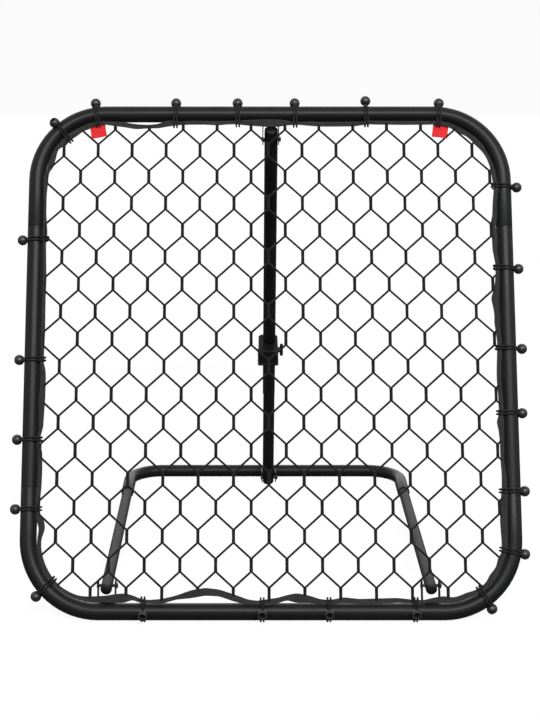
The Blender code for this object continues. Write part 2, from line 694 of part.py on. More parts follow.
def build_base(base):
    """Make the rear bend, the two legs with their caps, and the strut's foot bracket."""
    half = LEG_ASIDE
    seam = BASE_LENGTH - BASE_ARM
    turn = BASE_LENGTH - BASE_BEND
    quarter = math.pi / 2
    points = [(half, seam)]
    points += arc((half - BASE_BEND, turn), BASE_BEND, 0.0, quarter)
    points += arc((-half + BASE_BEND, turn), BASE_BEND, quarter, 2 * quarter)
    points += [(-half, seam)]
    # The crossbar's flat lies level on the ground although the base slopes.
    bent_tube("base_rear_bend", points, BASE_R, BASE_WALL, base, math.pi / SIDES - BASE_SLOPE)
    for side, word in ((-1, "left"), (1, "right")):
        leg = straight_tube("base_leg_" + word, LEG_R, LEG_WALL, -LEG_STUB, seam + LEG_INSERTION, base)
        moved(along_y(leg.data), x=side * half)
        cross_hole(leg, BOLT_HOLE_R, side * half, 0.0, 0.0)

        def to_leg(mesh, x=side * half):
            return moved(along_y(mesh), x=x, y=-LEG_STUB)

        end_cap("leg_cap_" + word, LEG_R, LEG_WALL, base, to_leg, -1)
    # The bracket's -Z, towards the pivot, becomes the base's -Y, towards the user.
    place = Matrix.Translation((0.0, BASE_LENGTH, 0.0)) @ Matrix.Rotation(-math.pi / 2, 4, "X")
    hole = (BOLT_R + FOOT_SLOT_CLEARANCE) / FLAT
    bracket("foot_bracket", base, BASE_R, FOOT_REACH, place, hole, FOOT_SLOT)


def build_strut_upper(strut):
    """Make the sliding upper tube of the strut with both its caps."""
    tail = CLAMP_BOTTOM + STRUT_TAIL
    tube = straight_tube("strut_upper_tube", STRUT_R, STRUT_WALL, -STRUT_TOP_STUB, tail, strut)
    cross_hole(tube, BOLT_HOLE_R, 0.0, 0.0, 0.0)
    end_cap("strut_top_cap", STRUT_R, STRUT_WALL, strut, lambda mesh: moved(mesh, z=-STRUT_TOP_STUB), -1)
    end_cap("strut_tail_cap", STRUT_R, STRUT_WALL, strut, lambda mesh: moved(mesh, z=tail), 1)


def clamp_outline(grow):
    """Return the clamp's outline across the strut, grown outwards; its Y points to the user."""
    half = CLAMP_WIDTH / 2 + grow
    back = -CLAMP_BACK - grow
    front = CLAMP_FRONT + grow
    small = CLAMP_FRONT_ROUND
    large = CLAMP_BACK_ROUND
    quarter = math.pi / 2
    points = arc((half - small, front - small), small, 0, quarter, 2)
    points += arc((small - half, front - small), small, quarter, 2 * quarter, 2)
    points += arc((large - half, back + large), large, 2 * quarter, 3 * quarter, 4)
    points += arc((half - large, back + large), large, 3 * quarter, 4 * quarter, 4)
    return points


def build_strut_lower(strut):
    """Make the lower tube with the clamp block on its upper end and the cap at its foot."""
    head = CLAMP_FROM_TOP + CLAMP_ROOF
    foot = STRUT_LENGTH + STRUT_FOOT_STUB
    tube = straight_tube("strut_lower_tube", STRUT_R, STRUT_WALL, head, foot, strut)
    moved(tube.data, y=STRUT_OFFSET)
    cross_hole(tube, BOLT_HOLE_R, 0.0, STRUT_OFFSET, STRUT_LENGTH)
    pin_depth = CLAMP_BOTTOM - CLAMP_LIP_HEIGHT - CLAMP_PIN_D * 1.5
    pin_r = CLAMP_PIN_D / 2
    cross_hole(tube, (pin_r + FIT_GAP) / FLAT, 0.0, STRUT_OFFSET, pin_depth)

    def to_foot(mesh):
        return moved(mesh, y=STRUT_OFFSET, z=foot)

    plug = STRUT_FOOT_STUB + CAP_PLUG
    cap = end_cap("strut_foot_cap", STRUT_R, STRUT_WALL, strut, to_foot, 1, plug)
    cross_hole(cap, BOLT_HOLE_R, 0.0, STRUT_OFFSET, STRUT_LENGTH)
    bolt_and_nut("strut_foot_bolt", "strut_foot_nut", strut, 0.0, STRUT_OFFSET, STRUT_LENGTH)

    body = curve_mesh("clamp_block", [clamp_outline(0.0)], True, flat_half=CLAMP_HEIGHT / 2)
    block = add_object("clamp_block", moved(body, z=CLAMP_FROM_TOP + CLAMP_HEIGHT / 2), strut, MOULDING)
    lip = curve_mesh("lip", [clamp_outline(CLAMP_LIP)], True, flat_half=CLAMP_LIP_HEIGHT / 2)
    boolean(block, moved(lip, z=CLAMP_BOTTOM - CLAMP_LIP_HEIGHT / 2), "UNION")
    screw_z = CLAMP_FROM_TOP + KNOB_DEPTH
    boss_end = CLAMP_WIDTH / 2 + KNOB_BOSS_LENGTH
    boss = rod_mesh("boss", KNOB_BOSS_D / 2, STRUT_R + KNOB_BOSS_ROOT, boss_end, "X")
    boolean(block, moved(boss, z=screw_z), "UNION")
    bore = (STRUT_R + FIT_GAP) / FLAT
    through = rod_mesh("through", bore, CLAMP_FROM_TOP - 0.01, CLAMP_BOTTOM + 0.01, "Z")
    pocket = rod_mesh("pocket", bore, head - FIT_GAP, CLAMP_BOTTOM + 0.01, "Z")
    for cutter, y in ((through, 0.0), (pocket, STRUT_OFFSET)):
        cutter.transform(Matrix.Rotation(math.pi / SIDES, 4, "Z"))
        boolean(block, moved(cutter, y=y), "DIFFERENCE")
    screw_bore = rod_mesh("screw_bore", BOLT_HOLE_R, STRUT_R * FLAT - 0.002, 2 * boss_end, "X")
    boolean(block, moved(screw_bore, z=screw_z), "DIFFERENCE")
    cross_hole(block, (pin_r + FIT_GAP) / FLAT, 0.0, STRUT_OFFSET, pin_depth)
    pin_end = CLAMP_WIDTH / 2 + FIT_GAP
    pin = moved(rod_mesh("clamp_pin", pin_r, -pin_end, pin_end, "X"), y=STRUT_OFFSET, z=pin_depth)
    smooth(pin)
    add_object("clamp_pin", pin, strut, PLATING)


def build_knob(strut):
    """Make the T knob whose screw presses on the upper tube."""
    knob = add_empty("clamp_knob_axis", strut, (0.0, 0.0, CLAMP_FROM_TOP + KNOB_DEPTH))
    tip = STRUT_R + FIT_GAP
    boss_end = CLAMP_WIDTH / 2 + KNOB_BOSS_LENGTH
    hub_start = boss_end + RUN_GAP
    hub_end = hub_start + KNOB_HUB_LENGTH
    obj = add_object("clamp_knob", rod_mesh("clamp_knob", BOLT_R, tip, hub_end - 0.001, "X"), knob, MOULDING)
    boolean(obj, rod_mesh("hub", KNOB_HUB_D / 2, hub_start, hub_end, "X"), "UNION")
    half = KNOB_BAR / 2
    bar_r = KNOB_BAR_D / 2
    profile = [(0, half), (bar_r * 0.7, half - bar_r * 0.25), (bar_r, half - bar_r)]
    profile += [(radius, -height) for radius, height in reversed(profile)]
    bar = moved(turned_mesh("bar", profile), x=hub_end - bar_r)
    boolean(obj, bar, "UNION")


def main():
    """Set the axes and build every sub-assembly."""
    ground = add_empty("ground", None, (0.0, -ORIGIN_BACK, 0.0))
    frame = add_empty("frame_axes", ground, (0.0, *BOTTOM_AXIS), math.pi / 2 - FRAME_LEAN)
    base = add_empty("base_axes", ground, (0.0, *HINGE), -BASE_SLOPE)
    strut = add_empty("strut_axes", ground, (0.0, *TOP_PIVOT), STRUT_TURN - math.pi / 2)
    bpy.context.view_layer.update()
    build_frame(frame)
    build_frame_brackets(frame)
    build_net(frame)
    build_tabs(frame)
    build_loops(frame)
    build_base(base)
    build_strut_upper(strut)
    build_strut_lower(strut)
    build_knob(strut)
    bpy.context.view_layer.update()


main()
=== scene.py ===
"""Pitch back rebounder: a leaning tube frame with a laced net, a hinged ground base and a strut.

Units are metres. Each sub-assembly is modelled in axes of its own and set in its place at the end:
  frame: X across, Y up along the lean, Z square to the net towards the user, from the bottom tube.
  base:  X across, Y back along the legs, Z up, from the hinge line.
  strut: X across, Y towards the user, Z down along the strut, from the top pivot.
"""

import json
import logging
import math
import random
from collections.abc import Callable
from dataclasses import dataclass
from enum import Enum

import bmesh
import bpy
import numpy as np
from bpy.types import Material, Node, NodeSocket, NodeTree, Object
from mathutils import Matrix, Vector
from mathutils.geometry import convex_hull_2d

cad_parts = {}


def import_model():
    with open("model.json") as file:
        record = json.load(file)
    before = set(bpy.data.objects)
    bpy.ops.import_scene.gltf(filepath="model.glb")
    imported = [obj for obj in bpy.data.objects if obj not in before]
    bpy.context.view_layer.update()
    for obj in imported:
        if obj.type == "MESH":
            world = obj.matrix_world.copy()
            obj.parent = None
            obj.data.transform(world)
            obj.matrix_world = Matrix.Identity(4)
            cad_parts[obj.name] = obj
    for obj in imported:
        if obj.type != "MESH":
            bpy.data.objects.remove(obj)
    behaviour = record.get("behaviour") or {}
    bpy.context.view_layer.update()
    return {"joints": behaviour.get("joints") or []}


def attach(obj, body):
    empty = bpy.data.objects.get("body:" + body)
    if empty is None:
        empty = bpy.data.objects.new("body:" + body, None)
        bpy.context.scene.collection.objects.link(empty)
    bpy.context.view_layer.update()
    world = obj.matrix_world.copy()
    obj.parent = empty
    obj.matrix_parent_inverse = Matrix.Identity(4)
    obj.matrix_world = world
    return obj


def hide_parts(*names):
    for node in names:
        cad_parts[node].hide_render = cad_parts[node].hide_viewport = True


LOG = logging.getLogger("rebounder")
# The clearance between pieces that fit together, and the distance under which vertices are merged.
FIT_GAP = 0.0003
MERGE = 1e-6
# How far a swept bend may end from where it should.
BEND_SLACK = 0.001
TUBE_SIDES = 36
CORD_SIDES = 8
TUBE_RADIUS = 0.0162
# How far a bracket's pivot lies from its tube: along the frame's lean, and behind the frame.
PIVOT_REACH = 0.049
PIVOT_BACK = 0.009
# How far the strut, the base, its legs and the foot bracket stand aside in the photograph.
STRUT_ASIDE = 0.0026
BASE_ASIDE = -0.0045
LEG_ASIDE = 0.3082
FOOT_ASIDE = 0.0013
# The middle of the crossbar.
CROSSBAR = (0.0, 0.386142, 0.0130)
# The turns that lay Z along X and along Y.
ALONG_X = Matrix.Rotation(math.pi / 2, 4, "Y")
ALONG_Y = Matrix.Rotation(-math.pi / 2, 4, "X")


class Body(Enum):
    """The moving bodies that pieces ride on."""

    FRAME = "frame"
    BASE = "base"
    STRUT_UPPER = "strut_upper"
    STRUT_LOWER = "strut_lower"
    KNOB = "knob"


class Slot(Enum):
    """The record's material slots."""

    POWDER_COAT = "powder_coat"
    MOULDING = "moulding"
    FASTENERS = "fasteners"
    NET_CORD = "net_cord"
    WEBBING = "hem_webbing"
    TAB = "tab_fabric"
    ELASTIC = "elastic"


class Side(Enum):
    """Left and right as the user sees them, with their signs along X."""

    LEFT = -1
    RIGHT = 1

    @property
    def word(self) -> str:
        """Return the side as part of a piece's name."""
        return self.name.lower()


class Element(Enum):
    """What is picked on a bench."""

    VERT = "VERT"
    EDGE = "EDGE"
    FACE = "FACE"


class Operation(Enum):
    """How one solid changes another."""

    CUT = "DIFFERENCE"
    JOIN = "UNION"


# ---- Modelling helpers ----


def clear_selection() -> None:
    """Leave edit mode and deselect everything."""
    if bpy.context.object and bpy.context.object.mode != "OBJECT":
        bpy.ops.object.mode_set(mode="OBJECT")
    for obj in list(bpy.context.selected_objects):
        obj.select_set(False)


def activate(obj: Object) -> None:
    """Make one object the only selected and the active one.

    Args:
        obj: the object.
    """
    clear_selection()
    obj.select_set(True)
    bpy.context.view_layer.objects.active = obj


class Bench:
    """One mesh that is shaped with Blender's own tools."""

    def __init__(self, obj: Object, name: str) -> None:
        """Take the object that a primitive has just added and open its mesh for editing.

        Args:
            obj: the new object.
            name: what it and its mesh are called.
        """
        self.obj = obj
        obj.name = name
        obj.data.name = name
        bpy.ops.object.transform_apply(location=True, rotation=True, scale=True)
        bpy.ops.object.mode_set(mode="EDIT")
        bpy.ops.mesh.select_all(action="SELECT")

    @classmethod
    def circle(cls, name: str, radius: float, sides: int, place: Matrix) -> "Bench":
        """Start from an open ring whose axis is the place's Z."""
        bpy.ops.mesh.primitive_circle_add(
            vertices=sides, radius=radius, location=place.translation, rotation=place.to_euler()
        )
        return cls(bpy.context.object, name)

    @classmethod
    def plane(cls, name: str, width: float, depth: float, place: Matrix) -> "Bench":
        """Start from a flat rectangle, width along the place's X and depth along its Y.

        Args:
            name: the object's name.
            width: its size along X.
            depth: its size along Y.
            place: where its middle lies.

        Returns:
            The bench with the rectangle selected.
        """
        clear_selection()
        bpy.ops.mesh.primitive_plane_add(size=1.0, location=place.translation, rotation=place.to_euler())
        obj = bpy.context.object
        obj.scale = (width, depth, 1.0)
        return cls(obj, name)

    @classmethod
    def sphere(cls, name: str, radius: float, segments: int, rings: int) -> "Bench":
        """Start from a ball with its poles on Z."""
        bpy.ops.mesh.primitive_uv_sphere_add(segments=segments, ring_count=rings, radius=radius)
        return cls(bpy.context.object, name)

    def extrude(self, step: Vector) -> None:
        """Extrude what is selected by a step."""
        bpy.ops.mesh.extrude_region_move(TRANSFORM_OT_translate={"value": tuple(step)})

    def resize(self, factor: float, centre: Vector) -> None:
        """Scale what is selected about a point."""
        bpy.ops.transform.resize(value=(factor,) * 3, center_override=tuple(centre))

    def spin(self, angle: float, steps: int, centre: Vector, axis: Vector) -> None:
        """Sweep what is selected round an axis."""
        bpy.ops.mesh.spin(steps=steps, angle=angle, center=tuple(centre), axis=tuple(axis))

    def fill(self) -> None:
        """Close the selected ring with one face."""
        bpy.ops.mesh.edge_face_add()

    def pick(self, kind: Element, test: Callable[[object], bool]) -> None:
        """Select only the vertices, edges or faces for which the test holds.

        Args:
            kind: what is picked.
            test: takes a bmesh element and returns whether it is wanted.
        """
        bpy.ops.mesh.select_all(action="DESELECT")
        bpy.ops.mesh.select_mode(type=kind.value)
        shape = bmesh.from_edit_mesh(self.obj.data)
        elements = {Element.VERT: shape.verts, Element.EDGE: shape.edges, Element.FACE: shape.faces}[kind]
        for element in [e for e in elements if test(e)]:
            element.select_set(True)
        shape.select_flush_mode()
        bmesh.update_edit_mesh(self.obj.data)

    def bevel(self, width: float, segments: int, corners: bool = False) -> None:
        """Round the selected edges or corners."""
        affect = "VERTICES" if corners else "EDGES"
        bpy.ops.mesh.bevel(offset=width, segments=segments, affect=affect, offset_type="OFFSET")

    def close(self, outside: bool = True) -> Object:
        """Merge doubles and leave edit mode.

        Args:
            outside: whether the faces are turned outwards.

        Returns:
            The finished object.
        """
        bpy.ops.mesh.select_mode(type="VERT")
        bpy.ops.mesh.select_all(action="SELECT")
        bpy.ops.mesh.remove_doubles(threshold=MERGE)
        if outside:
            bpy.ops.mesh.normals_make_consistent(inside=False)
        bpy.ops.object.mode_set(mode="OBJECT")
        return self.obj


def apply_modifier(obj: Object, kind: str, **settings: object) -> None:
    """Add one modifier with its settings and apply it.

    Args:
        obj: the object.
        kind: the modifier's type.
        settings: its own properties.
    """
    activate(obj)
    modifier = obj.modifiers.new(kind.lower(), kind)
    for key, value in settings.items():
        setattr(modifier, key, value)
    bpy.ops.object.modifier_apply(modifier=modifier.name)


def solidify(obj: Object, thickness: float, offset: float = -1.0) -> None:
    """Give a surface its wall."""
    apply_modifier(obj, "SOLIDIFY", thickness=thickness, offset=offset, use_even_offset=True)


def soften(obj: Object, width: float, segments: int = 2, angle: float = 40.0) -> None:
    """Round every edge that is sharper than an angle in degrees."""
    apply_modifier(
        obj, "BEVEL", width=width, segments=segments, limit_method="ANGLE",
        angle_limit=math.radians(angle), use_clamp_overlap=True,
    )


def cut(obj: Object, *tools: Object, operation: Operation = Operation.CUT) -> None:
    """Cut other objects out of one, or join them to it, and remove them.

    Args:
        obj: the object that stays.
        tools: the objects that are used up.
        operation: whether they are cut out or joined.
    """
    for tool in tools:
        apply_modifier(obj, "BOOLEAN", object=tool, operation=operation.value, solver="EXACT")
        bpy.data.objects.remove(tool)


def shade(obj: Object, angle: float = 35.0) -> None:
    """Shade round faces smooth and keep sharp edges."""
    activate(obj)
    bpy.ops.object.shade_smooth_by_angle(angle=math.radians(angle))


def fuse(name: str, *parts: Object) -> Object:
    """Join objects into one.

    Args:
        name: the joined object's name.
        parts: the objects.

    Returns:
        The joined object.
    """
    activate(parts[0])
    for part in parts[1:]:
        part.select_set(True)
    bpy.ops.object.join()
    obj = bpy.context.object
    obj.name = name
    obj.data.name = name
    return obj


def copy_of(obj: Object, name: str, move: Matrix) -> Object:
    """Return a copy with its own mesh, moved.

    Args:
        obj: the object.
        name: the copy's name.
        move: how its mesh is moved.

    Returns:
        The copy.
    """
    mesh = obj.data.copy()
    mesh.name = name
    mesh.transform(move)
    twin = bpy.data.objects.new(name, mesh)
    bpy.context.scene.collection.objects.link(twin)
    return twin


def turned(name: str, profile: list[tuple], sides: int, place: Matrix = Matrix()) -> Object:
    """Turn a piece from rings along its place's Z axis.

    Args:
        name: the object's name.
        profile: (radius, height) of each ring; a radius of 0 at either end closes it with a face.
        sides: how many sides a ring has.
        place: where the piece's axis lies.

    Returns:
        The new object, closed where its profile says so.
    """
    rings = [step for step in profile if step[0] > 0]
    axis = place.to_3x3() @ Vector((0.0, 0.0, 1.0))
    origin = place.translation
    radius, height = rings[0]
    bench = Bench.circle(name, radius, sides, Matrix.Translation(axis * height) @ place)
    if profile[0][0] == 0:
        bench.fill()
        bpy.ops.mesh.select_mode(type="EDGE")
    for next_radius, next_height in rings[1:]:
        bench.extrude(axis * (next_height - height))
        if next_radius != radius:
            bench.resize(next_radius / radius, origin + axis * next_height)
        radius, height = next_radius, next_height
    if profile[-1][0] == 0:
        end = origin + axis * height
        reach = radius * 1.01
        bench.pick(
            Element.VERT, lambda v: abs((v.co - end).dot(axis)) < MERGE and (v.co - end).length < reach
        )
        bench.fill()
    return bench.close()


def rod(name: str, radius: float, start: float, end: float, place: Matrix, sides: int = 24) -> Object:
    """Make a closed round rod along the place's Z, as a cutter or a core."""
    return turned(name, [(0, start), (radius, start), (radius, end), (0, end)], sides, place)


@dataclass
class Run:
    """A straight length of tube, or a bend where turn isn't 0."""

    length: float = 0.0
    radius: float = 0.0
    turn: float = 0.0
    steps: int = 14


def run_tube(
    name: str, start: Vector, heading: Vector, outside: float, wall: float, runs: list[Run]
) -> Object:
    """Sweep a ring along straight runs and flat bends, and give it its wall.

    Args:
        name: the object's name.
        start: the first ring's middle.
        heading: the first run's direction, in the XY plane.
        outside: outer radius.
        wall: wall thickness.
        runs: the runs in order; a bend turns left where its angle is positive.

    Returns:
        The tube with open ends and a wall.
    """
    facing = heading.to_track_quat("Z", "Y").to_matrix().to_4x4()
    bench = Bench.circle(name, outside, TUBE_SIDES, Matrix.Translation(start) @ facing)
    up = Vector((0.0, 0.0, 1.0))
    point = start.copy()
    heading = heading.copy()
    for run in runs:
        if run.turn == 0:
            bench.extrude(heading * run.length)
            point += heading * run.length
            continue
        side = math.copysign(1.0, run.turn)
        centre = point + up.cross(heading) * run.radius * side
        # The spin turns clockwise for a positive angle here.
        bench.spin(-run.turn, run.steps, centre, up)
        turn = Matrix.Rotation(run.turn, 3, "Z")
        point = centre + turn @ (point - centre)
        heading = turn @ heading
        if (selected_middle(bench.obj) - point).length > BEND_SLACK:
            raise RuntimeError(f"{name}: a bend of the tube went the wrong way")
    obj = bench.close()
    solidify(obj, wall)
    soften(obj, 0.0004, 2, 60.0)
    shade(obj)
    return obj


def selected_middle(obj: Object) -> Vector:
    """Return the middle of the vertices that are selected in edit mode.

    Args:
        obj: the object, in edit mode.

    Returns:
        Their middle.
    """
    shape = bmesh.from_edit_mesh(obj.data)
    points = [v.co.copy() for v in shape.verts if v.select]
    return sum(points, Vector()) / len(points)


def sweep(name: str, paths: list[np.ndarray], radius: float) -> Object:
    """Make round cords along paths, each closed at both ends and with a metric UV map.

    Args:
        name: the object's name.
        paths: the points of each cord, an (N, 3) array.
        radius: the cords' radius.

    Returns:
        One object with every cord.
    """
    verts = []
    faces = []
    coords = []
    sides = CORD_SIDES
    girth = 2 * math.pi * radius
    turns = (np.arange(sides) * 2 * math.pi / sides)[None, :, None]
    for points in paths:
        count = len(points)
        ahead = np.roll(points, -1, axis=0) - np.roll(points, 1, axis=0)
        ahead[0] = points[1] - points[0]
        ahead[-1] = points[-1] - points[-2]
        ahead /= np.linalg.norm(ahead, axis=1)[:, None]
        # Each ring's side direction is carried on from the ring before, so the cord doesn't twist.
        side = np.empty_like(points)
        steep = abs(ahead[0][2]) >= 0.9
        trial = np.array((1.0, 0.0, 0.0) if steep else (0.0, 0.0, 1.0))
        for i in range(count):
            trial = trial - ahead[i] * trial.dot(ahead[i])
            trial = trial / np.linalg.norm(trial)
            side[i] = trial
        over = np.cross(ahead, side)
        base = len(verts)
        ring = side[:, None, :] * np.cos(turns) + over[:, None, :] * np.sin(turns)
        verts.extend((points[:, None, :] + ring * radius).reshape(-1, 3).tolist())
        along = np.concatenate(([0.0], np.cumsum(np.linalg.norm(np.diff(points, axis=0), axis=1))))
        for i in range(count - 1):
            near = base + i * sides
            far = near + sides
            start, end = along[i], along[i + 1]
            for k in range(sides):
                m = (k + 1) % sides
                faces.append((near + k, near + m, far + m, far + k))
                left = girth * k / sides
                right = girth * (k + 1) / sides
                coords.extend(((left, start), (right, start), (right, end), (left, end)))
        faces.append(tuple(base + k for k in reversed(range(sides))))
        faces.append(tuple(base + (count - 1) * sides + k for k in range(sides)))
        coords.extend([(0.0, 0.0)] * sides + [(0.0, along[-1])] * sides)
    return mesh_object(name, verts, faces, coords)


def mesh_object(name: str, verts: list, faces: list, coords: list) -> Object:
    """Make an object from points, faces and one UV pair for each face corner.

    Args:
        name: the object's name.
        verts: the points.
        faces: the vertex numbers of each face.
        coords: the UV pairs, face by face.

    Returns:
        The object, shaded smooth.
    """
    mesh = bpy.data.meshes.new(name)
    mesh.from_pydata(verts, [], faces)
    layer = mesh.uv_layers.new(name="UVMap")
    layer.data.foreach_set("uv", np.array(coords, dtype=np.float32).ravel())
    mesh.validate()
    mesh.shade_smooth()
    obj = bpy.data.objects.new(name, mesh)
    bpy.context.scene.collection.objects.link(obj)
    return obj


# ---- Finishes ----

Feed = NodeSocket | float | tuple


class Graph:
    """Adds nodes to a node tree and joins them."""

    def __init__(self, tree: NodeTree) -> None:
        """Keep the tree."""
        self.tree = tree

    def fill(self, sockets: bpy.types.bpy_prop_collection, **values: Feed) -> None:
        """Give inputs their values.

        Args:
            sockets: a node's inputs.
            values: plain values or outputs, by input name with _ for a space, or by _0, _1 for a place.
        """
        for key, value in values.items():
            socket = sockets[int(key[1:]) if key[1:].isdigit() else key.replace("_", " ")]
            if isinstance(value, NodeSocket):
                self.tree.links.new(value, socket)
            else:
                socket.default_value = value

    def add(self, kind: str, settings: dict[str, object] | None = None, **inputs: Feed) -> Node:
        """Add a node.

        Args:
            kind: the node's type without the ShaderNode prefix.
            settings: the node's own properties.
            inputs: what its inputs get.

        Returns:
            The new node.
        """
        node = self.tree.nodes.new("ShaderNode" + kind)
        for key, value in (settings or {}).items():
            setattr(node, key, value)
        self.fill(node.inputs, **inputs)
        return node

    def group(self, tree: NodeTree, **inputs: Feed) -> bpy.types.bpy_prop_collection:
        """Place one of the shared groups and return its outputs."""
        return self.add("Group", {"node_tree": tree}, **inputs).outputs

    def noise(self, at: Feed, scale: Feed, detail: float, roughness: float = 0.5) -> NodeSocket:
        """Add a noise and return its value."""
        return self.add("TexNoise", Vector=at, Scale=scale, Detail=detail, Roughness=roughness).outputs[0]

    def math(self, operation: str, *values: Feed) -> NodeSocket:
        """Add a Math node and return what it puts out."""
        inputs = {f"_{i}": value for i, value in enumerate(values)}
        return self.add("Math", {"operation": operation}, **inputs).outputs[0]

    def ramp(self, value: Feed, low: float, high: float, start: float = 0.0, end: float = 1.0) -> NodeSocket:
        """Map a range of a value to another, without going past it."""
        return self.add("MapRange", _0=value, _1=low, _2=high, _3=start, _4=end).outputs[0]

    def mix(self, factor: Feed, first: Feed, second: Feed) -> NodeSocket:
        """Mix two colours."""
        return self.add("Mix", {"data_type": "RGBA"}, _0=factor, _6=first, _7=second).outputs[2]


class Group(Graph):
    """A node group while it is being built."""

    def __init__(self, name: str, inputs: tuple[str, ...], outputs: tuple[str, ...]) -> None:
        """Start the group.

        Args:
            name: the group's name.
            inputs: the inputs' names; the first word says what kind an input is.
            outputs: the outputs' names, in the same way.
        """
        super().__init__(bpy.data.node_groups.new(name, "ShaderNodeTree"))
        kinds = {"Vector": "Vector", "Normal": "Vector", "Colour": "Color"}
        for way, labels in (("INPUT", inputs), ("OUTPUT", outputs)):
            for label in labels:
                kind = "NodeSocket" + kinds.get(label.split()[0], "Float")
                self.tree.interface.new_socket(label, in_out=way, socket_type=kind)
        self.at = self.tree.nodes.new("NodeGroupInput").outputs
        self.results = self.tree.nodes.new("NodeGroupOutput").inputs

    def give(self, **results: NodeSocket) -> NodeTree:
        """Lead the results out of the group and return its tree."""
        self.fill(self.results, **results)
        return self.tree


def rgb(red: float, green: float, blue: float) -> tuple:
    """Return a colour with full alpha."""
    return (red, green, blue, 1.0)


class Effects:
    """Node groups that several finishes share, each built once."""

    def __init__(self) -> None:
        """Build every group."""
        self._add_relief()
        self._add_drift()
        self._add_scuffs()
        self._add_twist()
        self._add_weave()
        self._add_dust()

    def _add_relief(self) -> None:
        """Build a fine skin of two sizes: a coating's orange peel or a mould's spark texture."""
        group = Group("skin_relief", ("Vector", "Coarse", "Fine", "Share"), ("Height", "Mask"))
        at, share = group.at["Vector"], group.at["Share"]
        coarse = group.noise(at, group.at["Coarse"], 2.0, 0.45)
        fine = group.noise(at, group.at["Fine"], 3.0, 0.6)
        wide = group.math("MULTIPLY", coarse, group.math("SUBTRACT", 1.0, share))
        total = group.math("MULTIPLY_ADD", fine, share, wide)
        self.relief = group.give(Height=total, Mask=group.ramp(total, 0.38, 0.62))

    def _add_drift(self) -> None:
        """Build a slow change between two colours over a piece."""
        group = Group("tone_drift", ("Vector", "Scale", "Colour A", "Colour B"), ("Colour", "Mask"))
        at = group.at
        mask = group.ramp(group.noise(at["Vector"], at["Scale"], 5.0, 0.62), 0.32, 0.68)
        self.drift = group.give(Colour=group.mix(mask, at["Colour A"], at["Colour B"]), Mask=mask)

    def _add_scuffs(self) -> None:
        """Build thin scratches along the vector's Z, gathered in patches."""
        group = Group("sliding_scuffs", ("Vector", "Amount"), ("Mask",))
        at = group.at
        scale = (900.0, 900.0, 9.0)
        stretched = group.add("VectorMath", {"operation": "MULTIPLY"}, _0=at["Vector"], _1=scale).outputs[0]
        lines = group.ramp(group.noise(stretched, 1.0, 2.0), 0.60, 0.70)
        patches = group.ramp(group.noise(at["Vector"], 14.0, 3.0), 0.45, 0.62)
        amount = group.math("MULTIPLY", lines, patches)
        self.scuffs = group.give(Mask=group.math("MULTIPLY", amount, at["Amount"]))

    def _add_twist(self) -> None:
        """Build strands laid round a cord, from a metric UV: U round the cord and V along it."""
        group = Group("laid_strands", ("Vector", "Girth", "Pitch", "Strands"), ("Height", "Fibre"))
        at = group.at
        split = group.add("SeparateXYZ", _0=at["Vector"]).outputs
        round_it = group.math("DIVIDE", split[0], at["Girth"])
        along = group.math("DIVIDE", split[1], at["Pitch"])
        phase = group.math("MULTIPLY_ADD", round_it, at["Strands"], along)
        wave = group.math("SINE", group.math("MULTIPLY", phase, 2 * math.pi))
        rounded = group.math("POWER", group.math("MULTIPLY_ADD", wave, 0.5, 0.5), 0.6)
        fibre_x = group.math("MULTIPLY", phase, 9.0)
        fibre_y = group.math("MULTIPLY", along, 0.8)
        fibre = group.noise(group.add("CombineXYZ", X=fibre_x, Y=fibre_y).outputs[0], 1.0, 3.0)
        self.twist = group.give(Height=group.math("MULTIPLY_ADD", fibre, 0.35, rounded), Fibre=fibre)

    def _add_weave(self) -> None:
        """Build a plain weave on a metric UV."""
        group = Group("plain_weave", ("Vector", "Thread"), ("Height", "Thread Tone"))
        at = group.at
        split = group.add("SeparateXYZ", _0=at["Vector"]).outputs
        across = group.math("DIVIDE", split[0], at["Thread"])
        along = group.math("DIVIDE", split[1], at["Thread"])
        warp, weft = (
            group.math("ABSOLUTE", group.math("SINE", group.math("MULTIPLY", way, math.pi)))
            for way in (across, along)
        )
        cells = group.math("ADD", group.math("FLOOR", across), group.math("FLOOR", along))
        over = group.math("MODULO", group.math("ABSOLUTE", cells), 2.0)
        under = group.math("SUBTRACT", 1.0, over)
        warp_up = group.math("MULTIPLY", warp, group.math("MULTIPLY_ADD", over, 0.5, 0.5))
        weft_up = group.math("MULTIPLY", weft, group.math("MULTIPLY_ADD", under, 0.5, 0.5))
        thread_y = group.math("MULTIPLY", along, 0.15)
        thread_at = group.add("CombineXYZ", X=group.math("FLOOR", across), Y=thread_y).outputs[0]
        height = group.math("MAXIMUM", warp_up, weft_up)
        self.weave = group.give(Height=height, Thread_Tone=group.noise(thread_at, 3.7, 1.0))

    def _add_dust(self) -> None:
        """Build a thin film of dust that lies on faces that look up."""
        group = Group("settled_dust", ("Vector", "Normal", "Amount"), ("Mask",))
        at = group.at
        upward = group.ramp(group.add("SeparateXYZ", _0=at["Normal"]).outputs[2], 0.35, 1.0)
        spread = group.ramp(group.noise(at["Vector"], 60.0, 5.0, 0.7), 0.4, 0.7)
        both = group.math("MULTIPLY", upward, spread)
        self.dust = group.give(Mask=group.math("MULTIPLY", both, at["Amount"]))


